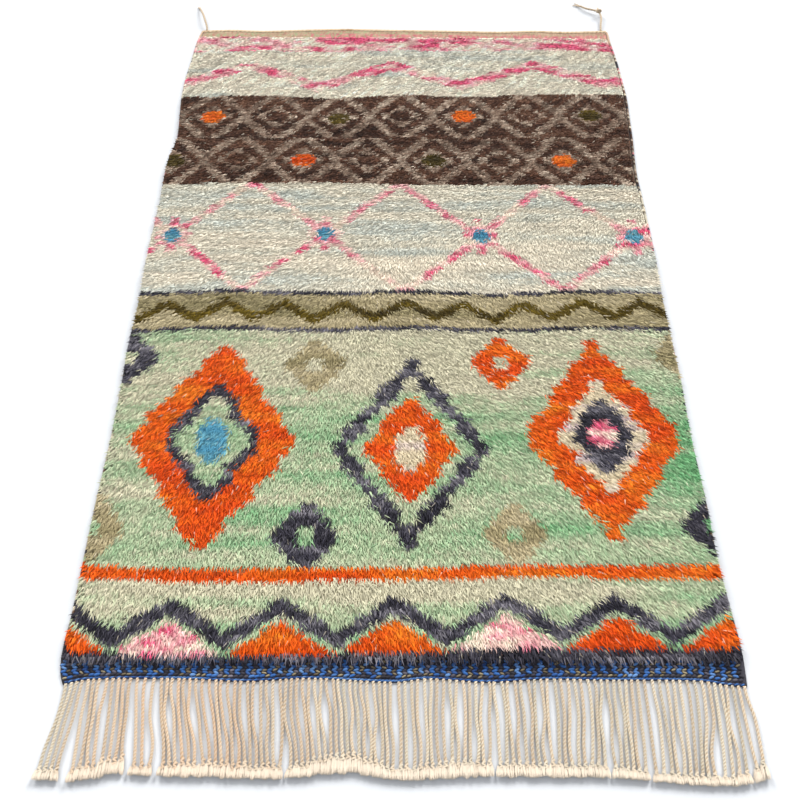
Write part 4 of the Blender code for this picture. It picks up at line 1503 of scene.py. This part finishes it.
def fringe_ends():
    """The knots, and below each a fan of brushed-out cotton that runs into the next one."""
    seed = np.random.default_rng(41)
    shapes = []
    count = len(KNOTS)
    for index, knot in enumerate(KNOTS):
        knot_y = along(KNOT_LINE, knot) + KNOT_UNEVEN[index]
        tip_y = along(TIP_LINE, knot)
        yarn = strand_yarn(ROOTS[index], seed) * np.array((1.08, 1.04, 0.99))
        for loop, (tilt, shift) in enumerate(KNOT_LOOPS):
            loop_y = knot_y + shift + seed.uniform(-0.001, 0.001)
            heading = unit(np.array((seed.uniform(-0.25, 0.25), -1.0)))
            corner = ((len(KNOT_LOOPS) * index + loop) / (len(KNOT_LOOPS) * count), 0.90)
            shapes.append(knot_loop(np.array((knot, loop_y, KNOT_HEIGHT)), heading, tilt,
                                    *KNOT_SIZE, yarn, corner, (0.32 / count, 0.09)))
        before = knot - KNOTS[index - 1] if index else math.inf
        after = KNOTS[index + 1] - knot if index + 1 < count else math.inf
        low_side = before * FAN_OVERLAP if before < FAN_TOGETHER else FAN_FREE_SIDES[0]
        high_side = after * FAN_OVERLAP if after < FAN_TOGETHER else FAN_FREE_SIDES[1]
        spread = np.linspace(-1.0, 1.0, FAN_LOCKS) + seed.uniform(-0.08, 0.08, FAN_LOCKS)
        out = np.where(spread < 0, spread * low_side, spread * high_side)
        layer = seed.uniform(0.0, 1.0, FAN_LOCKS)
        ragged = 1.04 - 0.26 * drift((knot + out) / 0.009, 0.5, 43)
        tips_y = knot_y - (knot_y - tip_y) * ragged * seed.uniform(0.95, 1.0, FAN_LOCKS)
        roots_y = np.full(FAN_LOCKS, knot_y + 0.0005)
        roots = np.column_stack((knot + out * 0.62, roots_y, mix(*FAN_ROOT_HEIGHTS, layer)))
        tips = np.column_stack((knot + out, tips_y, mix(*FAN_TIP_HEIGHTS, layer)))
        bellies = np.column_stack((knot + out * 0.86, mix(roots_y, tips_y, 0.62),
                                   mix(*FAN_BELLY_HEIGHTS, layer)))
        white = mix(dyed(ENDS_YARN) * 0.82, yarn, 0.25)
        colours = white[None, :] * seed.uniform(0.96, 1.03, FAN_LOCKS)[:, None]
        row, column = np.divmod(np.arange(FAN_LOCKS), FAN_COLUMNS)
        corners = np.column_stack(((index + column / FAN_COLUMNS) / count, row * 0.145))
        size = np.array((1.0 / FAN_COLUMNS / count, 0.14))
        shapes.append(locks(roots, bellies, tips, np.full(FAN_LOCKS, FAN_LOCK_WIDTH),
                            np.zeros(FAN_LOCKS), colours, corners, size, FAN_PAINTED_SHADE))
    return joined(shapes)


ends = make_piece("fringe_ends", fringe_ends(), CORD_MATERIAL, ENDS_SOFTNESS)
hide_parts("fringe")


# The floor and the light
# A plain white floor, two wide soft lights from behind the head, one to each side, a weaker
# one in front and a pale surround, so the shadows stay light and fall towards the fringe.
FLOOR_HALF = 30.0
FLOOR_COLOUR = (0.59, 0.61, 0.64, 1.0)
SUN_SOFTNESS = 24.0
SUN_COLOUR = (1.0, 0.985, 0.96)
SUNS = (
    ("right", 4.00, (0.50, 1.00, 0.56)),
    ("left", 3.10, (-0.50, 1.00, 0.56)),
    ("front", 0.85, (0.10, -1.00, 0.80)),
)
SURROUND_COLOUR = (0.95, 0.97, 1.0, 1.0)
SURROUND_STRENGTH = 0.57

floor_mesh = bpy.data.meshes.new("floor")
floor_mesh.from_pydata(
    [(-FLOOR_HALF, -FLOOR_HALF, 0.0), (FLOOR_HALF, -FLOOR_HALF, 0.0),
     (FLOOR_HALF, FLOOR_HALF, 0.0), (-FLOOR_HALF, FLOOR_HALF, 0.0)], [], [(0, 1, 2, 3)])
floor = bpy.data.objects.new("floor", floor_mesh)
bpy.context.scene.collection.objects.link(floor)
floor_material = bpy.data.materials.new("floor_white")
floor_material.use_nodes = True
floor_shader = floor_material.node_tree.nodes["Principled BSDF"]
floor_shader.inputs["Base Color"].default_value = FLOOR_COLOUR
floor_shader.inputs["Roughness"].default_value = 0.9
floor.data.materials.append(floor_material)

for side, energy, sun_from in SUNS:
    sun = bpy.data.lights.new("window_" + side, "SUN")
    sun.energy = energy
    sun.angle = math.radians(SUN_SOFTNESS)
    sun.color = SUN_COLOUR
    sun_stand = bpy.data.objects.new("window_" + side, sun)
    sun_stand.rotation_euler = Vector(sun_from).to_track_quat("Z", "Y").to_euler()
    bpy.context.scene.collection.objects.link(sun_stand)

world = bpy.data.worlds.new("surround")
world.use_nodes = True
world_light = world.node_tree.nodes["Background"]
world_light.inputs["Color"].default_value = SURROUND_COLOUR
world_light.inputs["Strength"].default_value = SURROUND_STRENGTH
bpy.context.scene.world = world
